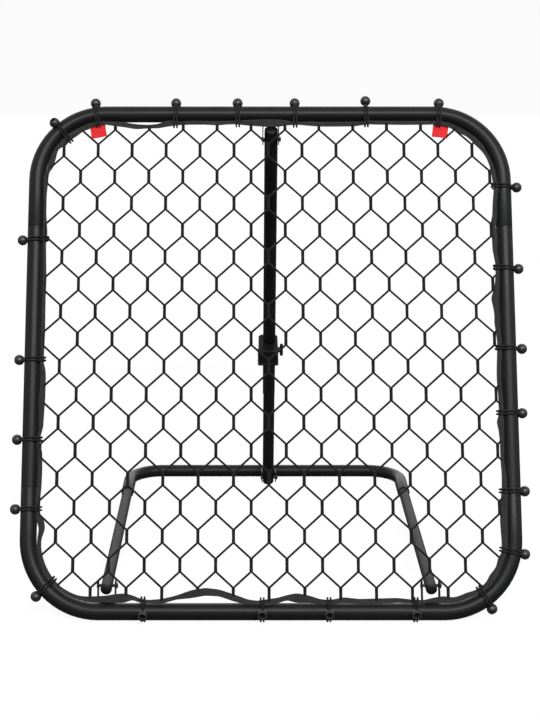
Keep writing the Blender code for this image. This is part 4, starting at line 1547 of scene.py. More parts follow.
@dataclass
class Strut(Bracketry):
    """The sliding upper tube, and the lower tube that carries the clamp."""

    inside: float = 0.0291
    radius: float = 0.0125
    upper_radius: float = 0.0134
    wall: float = 0.0012
    offset: float = 0.027
    length: float = 0.883769
    top_stub: float = 0.0200
    foot_stub: float = 0.0090
    tail: float = 0.110
    clamp_top: float = 0.507
    clamp_height: float = 0.037
    clamp_width: float = 0.0418
    clamp_aside: float = -0.0025
    clamp_dip: float = 0.0012
    rim: float = 0.0016
    back_wall: float = 0.0062
    front_wall: float = 0.0032
    back_round: float = 0.0095
    front_round: float = 0.003
    roof: float = 0.008
    lip: float = 0.0015
    lip_height: float = 0.004
    knob_depth: float = 0.0275
    knob_bar: float = 0.0037
    knob_half: float = 0.0165
    slide_gap: float = 0.0002
    pin_radius: float = 0.002
    pin_rise: float = 0.006

    def build(self) -> None:
        """Make both tubes, the clamp and its knob."""
        tail = self.clamp_top + self.clamp_height + self.tail
        foot = self.length + self.foot_stub
        upper = self.tube("strut_upper_tube_piece", self.upper_radius, (-self.top_stub, tail), 0.0, 0.0)
        self.fit(upper, self.palette.slid_coat, Body.STRUT_UPPER, Slot.POWDER_COAT, "strut_upper_tube")
        self.plug("top", Body.STRUT_UPPER, self.upper_radius, (0.0, -self.top_stub), -1)
        self.plug("tail", Body.STRUT_UPPER, self.upper_radius, (0.0, tail), 1)
        ends = (self.clamp_top + self.roof, foot)
        lower = self.tube("strut_lower_tube_piece", self.radius, ends, self.offset, self.length)
        self.fit(lower, self.palette.coat, Body.STRUT_LOWER, Slot.POWDER_COAT, "strut_lower_tube")
        self.plug("foot", Body.STRUT_LOWER, self.radius, (self.offset, foot), 1)
        pivot = Vector((FOOT_ASIDE, self.offset, self.length))
        self.fasten(Body.STRUT_LOWER, pivot, "strut_foot_bolt", "strut_foot_nut")
        self.fit(self.clamp(), self.palette.clamp, Body.STRUT_LOWER, Slot.MOULDING, "clamp_block")
        self.fit(self.pin(), self.palette.plating, Body.STRUT_LOWER, Slot.FASTENERS, "clamp_pin")
        self.fit(self.knob(), self.palette.moulding, Body.KNOB, Slot.MOULDING, "clamp_knob")

    def plug(self, word: str, body: Body, radius: float, end: tuple, facing: int) -> None:
        """Close one end of a tube.

        Args:
            word: which end, as part of the names.
            body: the body the tube rides on.
            radius: the tube's radius.
            end: where the tube ends, along Y and Z.
            facing: 1 where the dome points down the strut and -1 where it points up.
        """
        inner = radius - self.wall - FIT_GAP
        cap = domed_cap(f"strut_{word}_plug", radius, inner, Matrix.Translation((0.0, *end)), facing)
        self.fit(cap, self.palette.moulding, body, Slot.MOULDING, f"strut_{word}_cap")

    def tube(self, name: str, radius: float, ends: tuple, y: float, hole_z: float) -> Object:
        """Make a straight tube along Z with a bolt hole across it.

        Args:
            name: the object's name.
            radius: the tube's radius.
            ends: where it starts and ends along Z.
            y: where it stands along Y.
            hole_z: where the bolt crosses it.

        Returns:
            The tube.
        """
        profile = [(radius, end) for end in ends]
        obj = turned(name, profile, TUBE_SIDES, Matrix.Translation((0.0, y, 0.0)))
        solidify(obj, self.wall)
        cut(obj, self.drill(Matrix.Translation((0.0, y, hole_z))))
        soften(obj, 0.0003, 1, 60.0)
        shade(obj)
        return obj

    def pin_place(self) -> Matrix:
        """Return the place of the cross pin, whose axis is its Z."""
        z = self.clamp_top + self.clamp_height - self.lip_height - self.pin_rise
        return Matrix.Translation((self.clamp_aside, self.offset, z)) @ ALONG_X

    def pin(self) -> Object:
        """Make the pin that holds the clamp on the lower tube.

        Returns:
            The pin.
        """
        half = self.clamp_width / 2 + FIT_GAP
        radius, tip, chamfer = self.pin_radius, self.pin_radius - 0.0004, 0.0005
        profile = [(0, -half), (tip, -half), (radius, -half + chamfer), (radius, half - chamfer)]
        obj = turned("clamp_pin_piece", [*profile, (tip, half), (0, half)], 20, self.pin_place())
        shade(obj)
        return obj

    def clamp(self) -> Object:
        """Make the clamp block: a flange, a body with rounded rear shoulders, a rim and a screw boss.

        Returns:
            The block with its bores and material slots.
        """
        bottom = self.clamp_top + self.clamp_height
        bore = self.radius + FIT_GAP + self.slide_gap
        back = -(bore + self.back_wall)
        front = self.offset + bore + self.front_wall
        width = self.clamp_width + 2 * self.lip
        depth = front - back + 2 * self.lip
        middle = (front + back) / 2
        place = Matrix.Translation((self.clamp_aside, middle, bottom))
        bench = Bench.plane("clamp_block_piece", width, depth, place)
        bench.pick(Element.VERT, lambda v: v.co.y < middle)
        bench.bevel(self.back_round + self.lip, 8, corners=True)
        bench.pick(Element.VERT, lambda v: v.co.y > front + self.lip - MERGE)
        bench.bevel(self.front_round + self.lip, 4, corners=True)
        bpy.ops.mesh.select_mode(type="FACE")
        bpy.ops.mesh.select_all(action="SELECT")
        bench.extrude(Vector((0.0, 0.0, -self.lip_height)))
        bpy.ops.mesh.inset(thickness=self.lip, depth=0.0)
        bench.extrude(Vector((0.0, 0.0, self.lip_height - self.clamp_height)))
        bpy.ops.mesh.inset(thickness=self.rim, depth=0.0)
        bench.extrude(Vector((0.0, 0.0, self.clamp_dip)))
        obj = bench.close()
        # The rim and the flange's ledge get a pale finish: a painted highlight.
        for _ in range(2):
            obj.data.materials.append(None)
        ledges = (self.clamp_top, bottom - self.lip_height)
        for polygon in obj.data.polygons:
            polygon.material_index = int(any(abs(polygon.center.z - ledge) < MERGE for ledge in ledges))
        soften(obj, 0.0005, 2, 40.0)
        place = self.screw_place()
        end = self.boss_end()
        profile = [(0, 0.0155), (0.0078, 0.0155), (0.0072, end - 0.0006), (0.0066, end), (0, end)]
        cut(obj, turned("boss", profile, 28, place), operation=Operation.JOIN)
        wide = self.upper_radius + FIT_GAP + self.slide_gap
        through = rod("through", wide, self.clamp_top - 0.01, bottom + 0.01, Matrix(), TUBE_SIDES)
        under = Matrix.Translation((0.0, self.offset, 0.0))
        ceiling = self.clamp_top + self.roof - FIT_GAP
        pocket = rod("pocket", bore, ceiling, bottom + 0.01, under, TUBE_SIDES)
        screw = rod("screw", self.bolt_radius + FIT_GAP, 0.010, 0.05, place)
        middle_place = Matrix.Translation((-self.clamp_aside, 0.0, 0.0)) @ self.pin_place()
        pin = rod("pin", self.pin_radius + FIT_GAP, -0.05, 0.05, middle_place)
        cut(obj, through, pocket, screw, pin)
        shade(obj, 30.0)
        return obj

    def boss_end(self) -> float:
        """Return how far out along X the clamp's screw boss ends."""
        return self.clamp_aside + self.clamp_width / 2 + 0.0024

    def screw_place(self) -> Matrix:
        """Return the place of the knob's screw, whose axis is its Z."""
        return Matrix.Translation((0.0, 0.0, self.clamp_top + self.knob_depth)) @ ALONG_X

    def knob(self) -> Object:
        """Make the T knob: a bar with round ends, a short hub and the screw.

        Returns:
            The knob.
        """
        start = self.boss_end() + 0.0004
        bar_r = self.knob_bar
        end = start + 0.0019 + 2 * bar_r
        tip = self.upper_radius + 0.0006
        profile = [(0, tip), (0.0024, tip), (0.003, tip + 0.0006), (0.003, start), (0.0052, start)]
        profile += [(0.0058, start + 0.0006), (0.0058, start + 0.0022), (0.0050, start + 0.0034)]
        profile += [(0.0046, end - bar_r), (0.0034, end - 0.0008), (0, end - 0.0008)]
        hub = turned("clamp_knob_piece", profile, 28, self.screw_place())
        half = self.knob_half
        angles = [share * math.pi / 2 for share in (0.0, 0.25, 0.5, 0.75, 0.93)]
        rounded = [(bar_r * math.cos(t), half - bar_r + bar_r * math.sin(t)) for t in angles]
        tip = rounded[-1][1]
        profile = [(0, -tip)] + [(r, -h) for r, h in reversed(rounded)] + rounded + [(0, tip)]
        middle = Matrix.Translation((end - bar_r, 0.0, self.clamp_top + self.knob_depth))
        cut(hub, turned("bar", profile, 24, middle), operation=Operation.JOIN)
        shade(hub, 40.0)
        return hub


@dataclass(frozen=True)
class Tie:
    """One elastic loop: where it lies along the outline, how far out its ball is, and the ball's turn."""

    s: float
    out: float = 0.0250
    turn: float = 0.0


TIES = (
    Tie(3.5637, 0.0246), Tie(0.1397, 0.0235), Tie(0.2633, 0.0236), Tie(0.3780, 0.0236), Tie(0.5204, 0.0280),
    Tie(0.6663, 0.0238), Tie(0.8849, 0.0271), Tie(1.0506, 0.0255), Tie(1.2100, 0.0272), Tie(1.3363, 0.0238),
    Tie(1.4867, 0.0236), Tie(1.6023, 0.0228), Tie(1.7089, 0.0231), Tie(1.8459, 0.0256, 76.0),
    Tie(2.0098, 0.0256, 76.0), Tie(2.1361, 0.0256, 76.0), Tie(2.3618, 0.0256, 72.0), Tie(2.5606, 0.0241),
    Tie(2.7173, 0.0263), Tie(2.8508, 0.0262), Tie(3.0066, 0.0260), Tie(3.2458, 0.0258),
    Tie(3.4830, 0.0234, 44.0),
)

# The hem between one loop and the next, clockwise from the top left loop: percent of the way, then how far
# its inner and outer edges lie in from the tube's centreline, in millimetres.
HEM_LAY = (
    ((4, 25, 19), (22, 29.6, 19.9), (35, 31.9, 21), (50, 35.9, 25.3), (65, 34, 27.1), (78, 33.7, 25.2),
     (90, 30.3, 17.5)),
    ((4, 27.8, 21), (25, 26.4, 18.2), (50, 26.9, 18.6), (68, 28.6, 18.9), (85, 26.1, 18.4),
     (96, 26.1, 18.4)),
    ((4, 26.5, 18.1), (22, 28.4, 16.9), (50, 30.6, 15.6), (70, 30.8, 15.8), (88, 27.6, 18.2),
     (96, 27.8, 21)),
    ((4, 27, 21), (22, 29.4, 19.8), (40, 30.9, 21), (65, 30.3, 21), (82, 29.7, 20.4), (96, 27.1, 21)),
    ((4, 26, 18.1), (22, 26.4, 19), (50, 27.1, 19), (78, 27.1, 18.6), (92, 26.2, 18.8)),
    ((4, 26, 18.8), (12, 28, 19.5), (24, 31.8, 20.7), (36, 29.5, 20.6), (50, 30.9, 18.9),
     (66, 26.8, 19.7), (92, 24.4, 16.3)),
    ((4, 20.8, 11), (22, 23.9, 16.5), (38, 25.5, 15.9), (50, 31.3, 19.6), (65, 27.4, 17), (80, 27, 19.2),
     (96, 22.6, 14.7)),
    ((4, 22, 14), (20, 24, 16), (30, 28, 17), (39, 32.5, 18), (48, 29.5, 18.5), (58, 27, 17),
     (70, 27.5, 17), (82, 25, 16), (96, 23, 14)),
    ((4, 24, 14.7), (35, 26, 17.7), (50, 26.3, 18), (78, 24, 15.5), (96, 24.1, 15.5)),
    ((4, 24.3, 16.5), (12, 29.1, 14.1), (22, 25.7, 15.7), (38, 23.9, 15.7), (65, 23.7, 16.5),
     (80, 22.3, 13), (96, 22.8, 12.9)),
    ((4, 24, 10.8), (22, 25.6, 12.2), (50, 27.9, 13.7), (70, 26.8, 14), (96, 25.5, 14.3)),
    ((4, 23.4, 13.6), (22, 27.9, 16.8), (40, 25, 17.3), (62, 27, 17.5), (80, 23.1, 10.5),
     (96, 22.9, 16.5)),
    ((4, 23.8, 15.5), (22, 27.3, 16.9), (45, 25.4, 15.3), (63, 29.1, 16.2), (78, 25.4, 16.2),
     (90, 21.2, 14.5)),
    ((4, 22.4, 15.5), (22, 25.5, 16.5), (45, 24.5, 14.3), (65, 23.5, 14.4), (84, 26.8, 16.2),
     (96, 22.5, 13.8)),
    ((4, 21.9, 10.7), (14, 23.3, 12.6), (26, 28.4, 16.2), (38, 32.3, 16.2), (50, 34.3, 16.2),
     (63, 30.9, 21.2), (76, 26.1, 15.7), (95, 22.6, 9.7)),
    ((4, 20.2, 14.5), (12, 22.5, 12.1), (24, 32.4, 18.8), (36, 41.2, 28.2), (48, 44.3, 29.5),
     (60, 39.6, 24.6), (72, 30, 22.2), (84, 23.7, 14.4), (96, 21.5, 15.1)),
    ((3, 24.5, 16.2), (10, 30.5, 22), (17, 34, 16.2), (25, 33, 16.2), (36, 29.5, 16.2), (50, 28, 16.5),
     (65, 24, 16.7), (90, 22.5, 16)),
    ((4, 23.8, 16.8), (35, 25.7, 17.6), (50, 26.3, 17.7), (64, 27.8, 19.2), (76, 34.2, 22),
     (86, 31.8, 16.8), (96, 22.4, 15.9)),
    ((4, 22.4, 14.2), (35, 25.3, 16.7), (55, 25.9, 17.6), (80, 25.4, 17), (96, 19.2, 13.7)),
    ((4, 21.5, 16), (14, 25.8, 18.1), (35, 27.1, 16.5), (50, 28.2, 15.7), (66, 28.3, 18.4),
     (78, 28.4, 18.4), (88, 27, 18.4), (96, 23, 17.2)),
    ((4, 24.1, 17.3), (22, 25.2, 17), (50, 24.2, 17.7), (65, 25, 18.7), (96, 22.6, 16.9)),
    ((4, 25.1, 16.1), (22, 21.6, 15.8), (38, 21.6, 15.8), (52, 24.1, 15.1), (58, 25, 19.5),
     (63, 31, 19.7), (74, 30.8, 19.9), (84, 26.2, 18.8), (92, 33.8, 20.2)),
    ((6, 32.3, 18.5), (22, 33.6, 20.4), (50, 30.6, 20.4), (70, 30.5, 19.7), (92, 26, 19.5)),
)


@dataclass
class Lacing:
    """Where the loops tie the hem to the frame, and how the hem lies between them."""

    outline: Outline
    ties: tuple = TIES
    lay: tuple = HEM_LAY
    stations: int = 2400
    grip: float = 0.010

    def __post_init__(self) -> None:
        """Work out the hem's edges all round, softened a little."""
        total = self.outline.length()
        marks = []
        for number, gap in enumerate(self.lay):
            start = self.ties[number].s
            span = (self.ties[(number + 1) % len(self.ties)].s - start) % total
            for way, inner, outer in gap:
                marks.append(((start + way / 100 * span) % total, inner / 1000, outer / 1000))
        marks.sort()
        places = np.array([mark[0] for mark in marks])
        at = np.arange(self.stations) * total / self.stations
        self.inner = self.softened(np.interp(at, places, [mark[1] for mark in marks], period=total))
        self.outer = self.softened(np.interp(at, places, [mark[2] for mark in marks], period=total))

    @staticmethod
    def softened(values: np.ndarray) -> np.ndarray:
        """Return the values averaged over a few millimetres to either side.

        Args:
            values: one number for each station.

        Returns:
            The softened numbers.
        """
        for _ in range(3):
            values = sum(np.roll(values, shift) for shift in (-2, -1, 0, 1, 2)) / 5
        return values

    def edges(self, s: float) -> tuple:
        """Return how far in from the tube's centreline the hem's inner and outer edges lie.

        Args:
            s: the length along the outline.

        Returns:
            How far in the inner edge lies, and the outer.
        """
        place = s / self.outline.length() * self.stations
        low = int(place) % self.stations
        share = place - int(place)
        high = (low + 1) % self.stations
        return (
            self.inner[low] + (self.inner[high] - self.inner[low]) * share,
            self.outer[low] + (self.outer[high] - self.outer[low]) * share,
        )

    def pinch(self, s: float) -> float:
        """Return 1 at a loop, falling to 0 some way from it.

        Args:
            s: the length along the outline.

        Returns:
            How far the hem is pulled together there.
        """
        total = self.outline.length()
        away = min(min((s - tie.s) % total, (tie.s - s) % total) for tie in self.ties)
        return math.exp(-((away / self.grip) ** 2))


@dataclass
class Net(SubAssembly):
    """The hexagonal net: cords that run down in zigzags and lie side by side in the upright legs."""

    lacing: Lacing
    pitch_x: float = 0.067672
    pitch_y: float = 0.054309
    knot: float = 0.0262
    cord: float = 0.0021
    spread: float = 0.0012
    top_row: float = 0.914063
    aside: float = -0.003991
    depth: float = 0.0161
    jitter: float = 0.0002
    sway: float = 0.0003
    knot_spread: float = 1.15
    hem_reach: float = 0.06
    under_hem: float = 0.004
    shortest: float = 0.0004

    def build(self) -> None:
        """Make every cord of the net."""
        rng = random.Random(5)
        half_pitch = self.pitch_x / 2
        count = math.ceil(self.lacing.outline.half / half_pitch) + 1
        rows = math.ceil(self.lacing.outline.rise / self.pitch_y) + 2
        at_knot = self.spread * self.knot_spread
        paths = []
        for number in range(-count, count + 1):
            points = []
            for row in range(-1, rows):
                # Cord number n swings between the legs at n and n + 1 half pitches.
                column = number if (number + row) % 2 == 0 else number + 1
                sign = 1 if column == number else -1
                x = self.aside + column * half_pitch
                top = self.top_row - row * self.pitch_y
                jitter = rng.uniform(-self.jitter, self.jitter)
                for share in (0.0, 0.12, 0.3, 0.5, 0.7, 0.88, 1.0):
                    turn = 2 * math.pi * share
                    near = at_knot if share in (0.0, 1.0) else self.spread * (0.9 + 0.1 * math.cos(turn))
                    depth = self.depth + sign * self.sway * math.sin(turn)
                    points.append((x + sign * near + jitter, top - share * self.knot, depth))
                next_x = self.aside + (2 * number + 1 - column) * half_pitch
                rise = self.pitch_y - self.knot
                for share in (0.07, 0.5, 0.93):
                    inward = sign * at_knot * (1 - 2 * share)
                    points.append(
                        (x + (next_x - x) * share + inward, top - self.knot - rise * share, self.depth)
                    )
            paths.extend(self.clipped(np.array(points)))
        obj = sweep("net_cords", paths, self.cord)
        self.fit(obj, self.palette.net, Body.FRAME, Slot.NET_CORD, "net")

    def inside(self, point: np.ndarray) -> float:
        """Return how far a point lies inside the net's edge, which is a little way under the hem.

        Args:
            point: a point of a cord.

        Returns:
            Its distance from that edge, less than 0 outside.
        """
        inward, s = self.lacing.outline.near(point[0], point[1])
        if inward > self.hem_reach:
            return inward
        return inward - self.lacing.edges(s)[0] + self.under_hem

    def clipped(self, points: np.ndarray) -> list:
        """Cut a cord at the hem; what is left runs a little way under it.

        Args:
            points: the cord's points.

        Returns:
            The points of each stretch that is left.
        """
        depths = np.array([self.inside(point) for point in points])
        paths = []
        run = []
        for i in range(len(points)):
            if depths[i] > 0:
                if not run and i > 0:
                    share = depths[i] / (depths[i] - depths[i - 1])
                    run.append(points[i] + (points[i - 1] - points[i]) * share)
                run.append(points[i])
            elif run:
                share = depths[i - 1] / (depths[i - 1] - depths[i])
                run.append(points[i - 1] + (points[i] - points[i - 1]) * share)
                paths.append(run)
                run = []
        if run:
            paths.append(run)
        finished = []
        for run in paths:
            kept = [run[0]]
            for point in run[1:]:
                if np.linalg.norm(point - kept[-1]) > self.shortest:
                    kept.append(point)
            if len(kept) > 2:
                finished.append(np.array(kept))
        return finished


@dataclass
class Hem(SubAssembly):
    """The folded webbing round the net, pulled together at each loop and slack between."""

    lacing: Lacing
    layer: float = 0.0008
    width: float = 0.0145
    depth: float = 0.0163
    across: int = 12
    count: int = 900
    # How deep the fold is between the loops, and how much deeper at one.
    fold: float = 0.10
    pinched: float = 0.16
    puff: float = 0.0005
    spare: float = 1.02

    def build(self) -> None:
        """Make the band as a flattened tube that follows the frame."""
        outline = self.lacing.outline
        total = outline.length()
        rng = random.Random(21)
        waves = [(rng.uniform(20, 90), rng.uniform(0, 6.28), rng.uniform(0.3, 1.0)) for _ in range(6)]
        sections = 2 * self.across
        verts = []
        faces = []
        coords = []
        lengths = [0.0]
        middles = []
        for i in range(self.count):
            s = total * i / self.count
            inner, outer = self.lacing.edges(s)
            pinch = self.lacing.pinch(s)
            slack = 1 - pinch
            point, out = outline.at(s)
            span = inner - outer
            # The band is wider than the room it has, so it lies in a lengthwise fold that tightens at a loop.
            fold = (self.fold + self.pinched * pinch) * math.sqrt(max(self.width - span, 0.0) * span)
            wave = sum(a * math.sin(f * s + p) for f, p, a in waves) / len(waves)
            tilt = (0.0012 * math.sin(31 * s + 1.3) + 0.0010 * wave) * slack
            middles.append(point - out * (inner + outer) / 2)
            for sign in (1, -1):
                for k in range(self.across):
                    share = k / (self.across - 1) if sign > 0 else 1 - k / (self.across - 1)
                    bend = fold * math.sin(2.2 * math.pi * share + 0.6 + 1.5 * wave)
                    rim = math.sqrt(max(0.0, 1.0 - abs(2 * share - 1) ** 5))
                    puff = self.layer * (0.35 + 0.65 * rim) + self.puff * slack * math.sin(math.pi * share)
                    flat = point - out * (outer + span * share)
                    height = self.depth + bend + tilt * (2 * share - 1) + sign * puff
                    verts.append((flat[0], flat[1], height))
        for i in range(1, self.count + 1):
            lengths.append(lengths[-1] + float(np.linalg.norm(middles[i % self.count] - middles[i - 1])))
        for i in range(self.count):
            j = (i + 1) % self.count
            for k in range(sections):
                m = (k + 1) % sections
                faces.append((i * sections + k, j * sections + k, j * sections + m, i * sections + m))
                u = self.width * k / self.across
                v = self.width * (k + 1) / self.across
                coords.extend(((u, lengths[i]), (u, lengths[i + 1]), (v, lengths[i + 1]), (v, lengths[i])))
        obj = mesh_object("net_hem_webbing", verts, faces, coords)
        self.fit(obj, self.palette.webbing, Body.FRAME, Slot.WEBBING, "net_hem")
        tubes = ["frame_top_bend_tube", "frame_bottom_bend_tube"]
        tubes += ["frame_side_tube_" + side.word for side in Side]


@dataclass
class Loops(SubAssembly):
    """The elastic loops that tie the hem to the frame, each with its ball."""

    lacing: Lacing
    tube_radius: float = TUBE_RADIUS
    strand: float = 0.0017
    apart: float = 0.0029
    together: float = 0.0014
    ball_radius: float = 0.0103
    hem_depth: float = 0.0163
    hem_half: float = 0.0017

    def build(self) -> None:
        """Make every loop and ball."""
        closed = self.ball(math.radians(22), 0.0040)
        hollow = self.ball(math.radians(36), 0.0135)
        front = Vector((0.0, 0.0, 1.0))
        for number, tie in enumerate(self.lacing.ties, start=1):
            name = f"elastic_loop_{number:02d}"
            point, out = self.lacing.outline.at(tie.s)
            outward = Vector((out[0], out[1], 0.0))
            # Loop axes: X outwards, Y to the front, Z along the tube.
            local = Matrix((outward, front, outward.cross(front))).transposed().to_4x4()
            local = Matrix.Translation((point[0], point[1], 0.0)) @ local
            strands = self.strands(name + "_strands", tie, self.lacing.edges(tie.s), number)
            strands.data.transform(local)
            self.fit(strands, self.palette.elastic, Body.FRAME, Slot.ELASTIC, name)
            turn = Matrix.Rotation(math.radians(tie.turn), 4, "Z")
            turn = turn @ Matrix.Translation((tie.out, 0.0, 0.0)) @ ALONG_X
            piece = copy_of(hollow if tie.turn else closed, name + "_ball", local @ turn)
            # The second slot darkens the ball's hollows: painted shade.
            self.fit(piece, (self.palette.ball, self.palette.elastic), Body.FRAME, Slot.ELASTIC)
        for ball in (closed, hollow):
            bpy.data.objects.remove(ball)

    def ball(self, recess: float, recess_depth: float) -> Object:
        """Make a ball on Z with a knot recess at its top and a mouth for the strands at its foot.

        Args:
            recess: angle from the ball's axis to the recess's rim.
            recess_depth: how deep the recess is.

        Returns:
            The ball.
        """
        radius = self.ball_radius
        bench = Bench.sphere("loop_ball", radius, 32, 20)
        bench.pick(Element.FACE, lambda f: f.calc_center_median().normalized().z > math.cos(recess))
        bench.extrude(Vector((0.0, 0.0, -recess_depth)))
        bench.resize(0.84, Vector((0.0, 0.0, radius - recess_depth)))
        mouth, mouth_depth = math.radians(37), 0.0050
        bench.pick(Element.FACE, lambda f: f.calc_center_median().normalized().z < -math.cos(mouth))
        bench.extrude(Vector((0.0, 0.0, mouth_depth)))
        bench.resize(0.8, Vector((0.0, 0.0, mouth_depth - radius)))
        obj = bench.close(outside=False)
        # The walls of the recess and of the mouth take the strands' darker, duller finish: painted shade in
        # the hollows.
        for _ in range(2):
            obj.data.materials.append(None)
        for polygon in obj.data.polygons:
            polygon.material_index = int(polygon.center.length < 0.93 * radius)
        soften(obj, 0.00045, 3, 50.0)
        shade(obj, 50.0)
        return obj

    def path(self, tie: Tie, hem: tuple) -> np.ndarray:
        """Return a strand's route round the tube and the hem, in the loop's X and Y, from ball to ball.

        Args:
            tie: the loop.
            hem: how far in the hem's inner and outer edges lie.

        Returns:
            The points of the route, an (N, 2) array.
        """
        angle = math.radians(tie.turn)
        radius = self.tube_radius + FIT_GAP + self.strand
        tip = hem[0] + self.strand + 0.0009
        corner = self.hem_half + self.strand + 0.0002
        cloud = [(radius * math.cos(t), radius * math.sin(t)) for t in np.linspace(0, 2 * math.pi, 73)[:-1]]
        for t in np.linspace(-math.pi / 2, math.pi / 2, 9):
            cloud.append((-tip + corner * 0.6 - corner * math.cos(t), self.hem_depth + corner * math.sin(t)))
        cloud.append((-hem[1], self.hem_depth + corner))
        hull = [np.array(cloud[i]) for i in convex_hull_2d([Vector(p) for p in cloud])]
        closed = hull + [hull[0]]
        steps = [np.linalg.norm(after - before) for before, after in zip(closed, closed[1:])]
        marks = np.concatenate(([0.0], np.cumsum(steps)))
        dense = []
        for mark in np.arange(0.0, marks[-1], 0.0012):
            i = int(np.searchsorted(marks, mark, side="right")) - 1
            share = (mark - marks[i]) / (marks[i + 1] - marks[i])
            dense.append(closed[i] + (closed[i + 1] - closed[i]) * share)
        dense = np.array(dense)
        for _ in range(3):
            dense = (np.roll(dense, 1, axis=0) + 2 * dense + np.roll(dense, -1, axis=0)) / 4
        # The route is cut open at the ball, and both of its ends rise into the ball's mouth.
        angles = np.arctan2(dense[:, 1], dense[:, 0]) - angle
        angles = (angles + math.pi) % (2 * math.pi) - math.pi
        start = int(np.argmin(np.abs(angles)))
        dense = np.roll(dense, -start, axis=0)
        angles = np.roll(angles, -start)
        dense = dense[np.abs(angles) > math.radians(24)]
        direction = np.array((math.cos(angle), math.sin(angle)))
        side = np.array((-direction[1], direction[0]))
        lead = [direction * (tie.out - 0.003) + side * sign * 0.0012 for sign in (1, -1)]
        mouth = [direction * (tie.out - 0.0066) + side * sign * 0.0022 for sign in (1, -1)]
        first, last = (0, 1) if np.dot(dense[0], side) > 0 else (1, 0)
        return np.array([lead[first], mouth[first], *dense, mouth[last], lead[last]])

    def strands(self, name: str, tie: Tie, hem: tuple, number: int) -> Object:
        """Make a loop's two strands and the knot in its ball.

        Args:
            name: the object's name.
            tie: the loop.
            hem: how far in the hem's inner and outer edges lie.
            number: the loop's number.

        Returns:
            The strands as one object.
        """
        rng = random.Random(100 + number)
        angle = math.radians(tie.turn)
        route = self.path(tie, hem)
        count = len(route)
        ends = np.minimum(np.arange(count), np.arange(count)[::-1])
        spread = np.clip(ends / 14.0, 0.0, 1.0)
        lean = rng.uniform(-0.0006, 0.0006)
        paths = []
        for sign in (-1, 1):
            aside = sign * (self.together + (self.apart - self.together) * spread)
            drift = lean * np.sin(np.linspace(0, math.pi, count))
            paths.append(np.column_stack((route[:, 0], route[:, 1], aside + drift)))
        direction = np.array((math.cos(angle), math.sin(angle), 0.0))
        side = np.array((-math.sin(angle), math.cos(angle), 0.0))
        # The knot lies deep in a hollow ball and at the top of a closed one.
        middle = tie.out - (0.0036 if tie.turn else -0.0016)
        knot = []
        for t in np.linspace(-0.25, 1.25, 14) * math.pi:
            lift = np.array((0.0, 0.0, 0.0008 * math.sin(2 * t)))
            reach = middle + 0.0019 * math.sin(t)
            knot.append(direction * reach + side * 0.0016 * math.cos(t) + lift)
        paths.append(np.array(knot))
        return sweep(name, paths, self.strand)


@dataclass
class RedTabs(SubAssembly):
    """The two plain red fabric tabs at the upper corners; pairs are for the left and the right one."""

    aside: tuple = (0.3455, 0.3425)
    turns: tuple = (10.0, 8.5)
    top: float = 0.9575
    width: float = 0.0315
    height: float = 0.031
    thickness: float = 0.0008
    depth: float = 0.0108
    cells: int = 14

    def build(self, hem: str) -> None:
        """Make both tabs.

        Args:
            hem: the name of the piece they hang from; not used.
        """
        for side, aside, degrees in zip(Side, self.aside, self.turns):
            obj = self.tab("red_tab_" + side.word + "_cloth", side.value, aside, math.radians(degrees))
            self.fit(obj, self.palette.red, Body.FRAME, Slot.TAB, "red_tab_" + side.word)

    def tab(self, name: str, side: int, aside: float, angle: float) -> Object:
        """Make one tab, slightly curled, with a metric UV map and a real thickness.

        Args:
            name: the object's name.
            side: -1 for the left tab and 1 for the right one.
            aside: how far from the middle it hangs.
            angle: how far its foot leans outwards.

        Returns:
            The tab.
        """
        columns = rows = self.cells
        verts = []
        faces = []
        coords = []
        turn = Matrix.Rotation(-side * angle, 3, "Z")
        for j in range(rows + 1):
            for i in range(columns + 1):
                u = i / columns - 0.5
                v = j / rows
                x = u * self.width * (1.0 - 0.03 * math.sin(math.pi * v))
                curl = 0.0070 * v**1.3 + 0.0011 * math.sin(2 * math.pi * u * 0.8 + side) * v
                spot = turn @ Vector((x, -v * self.height, 0.0))
                verts.append((spot.x + side * aside, spot.y + self.top, self.depth + curl))
        for j in range(rows):
            for i in range(columns):
                a = j * (columns + 1) + i
                faces.append((a, a + columns + 1, a + columns + 2, a + 1))
                for di, dj in ((0, 0), (0, 1), (1, 1), (1, 0)):
                    coords.append(((i + di) / columns * self.width, (j + dj) / rows * self.height))
        obj = mesh_object(name, verts, faces, coords)
        solidify(obj, self.thickness, 0.0)
        return obj


# ---- Studio ----


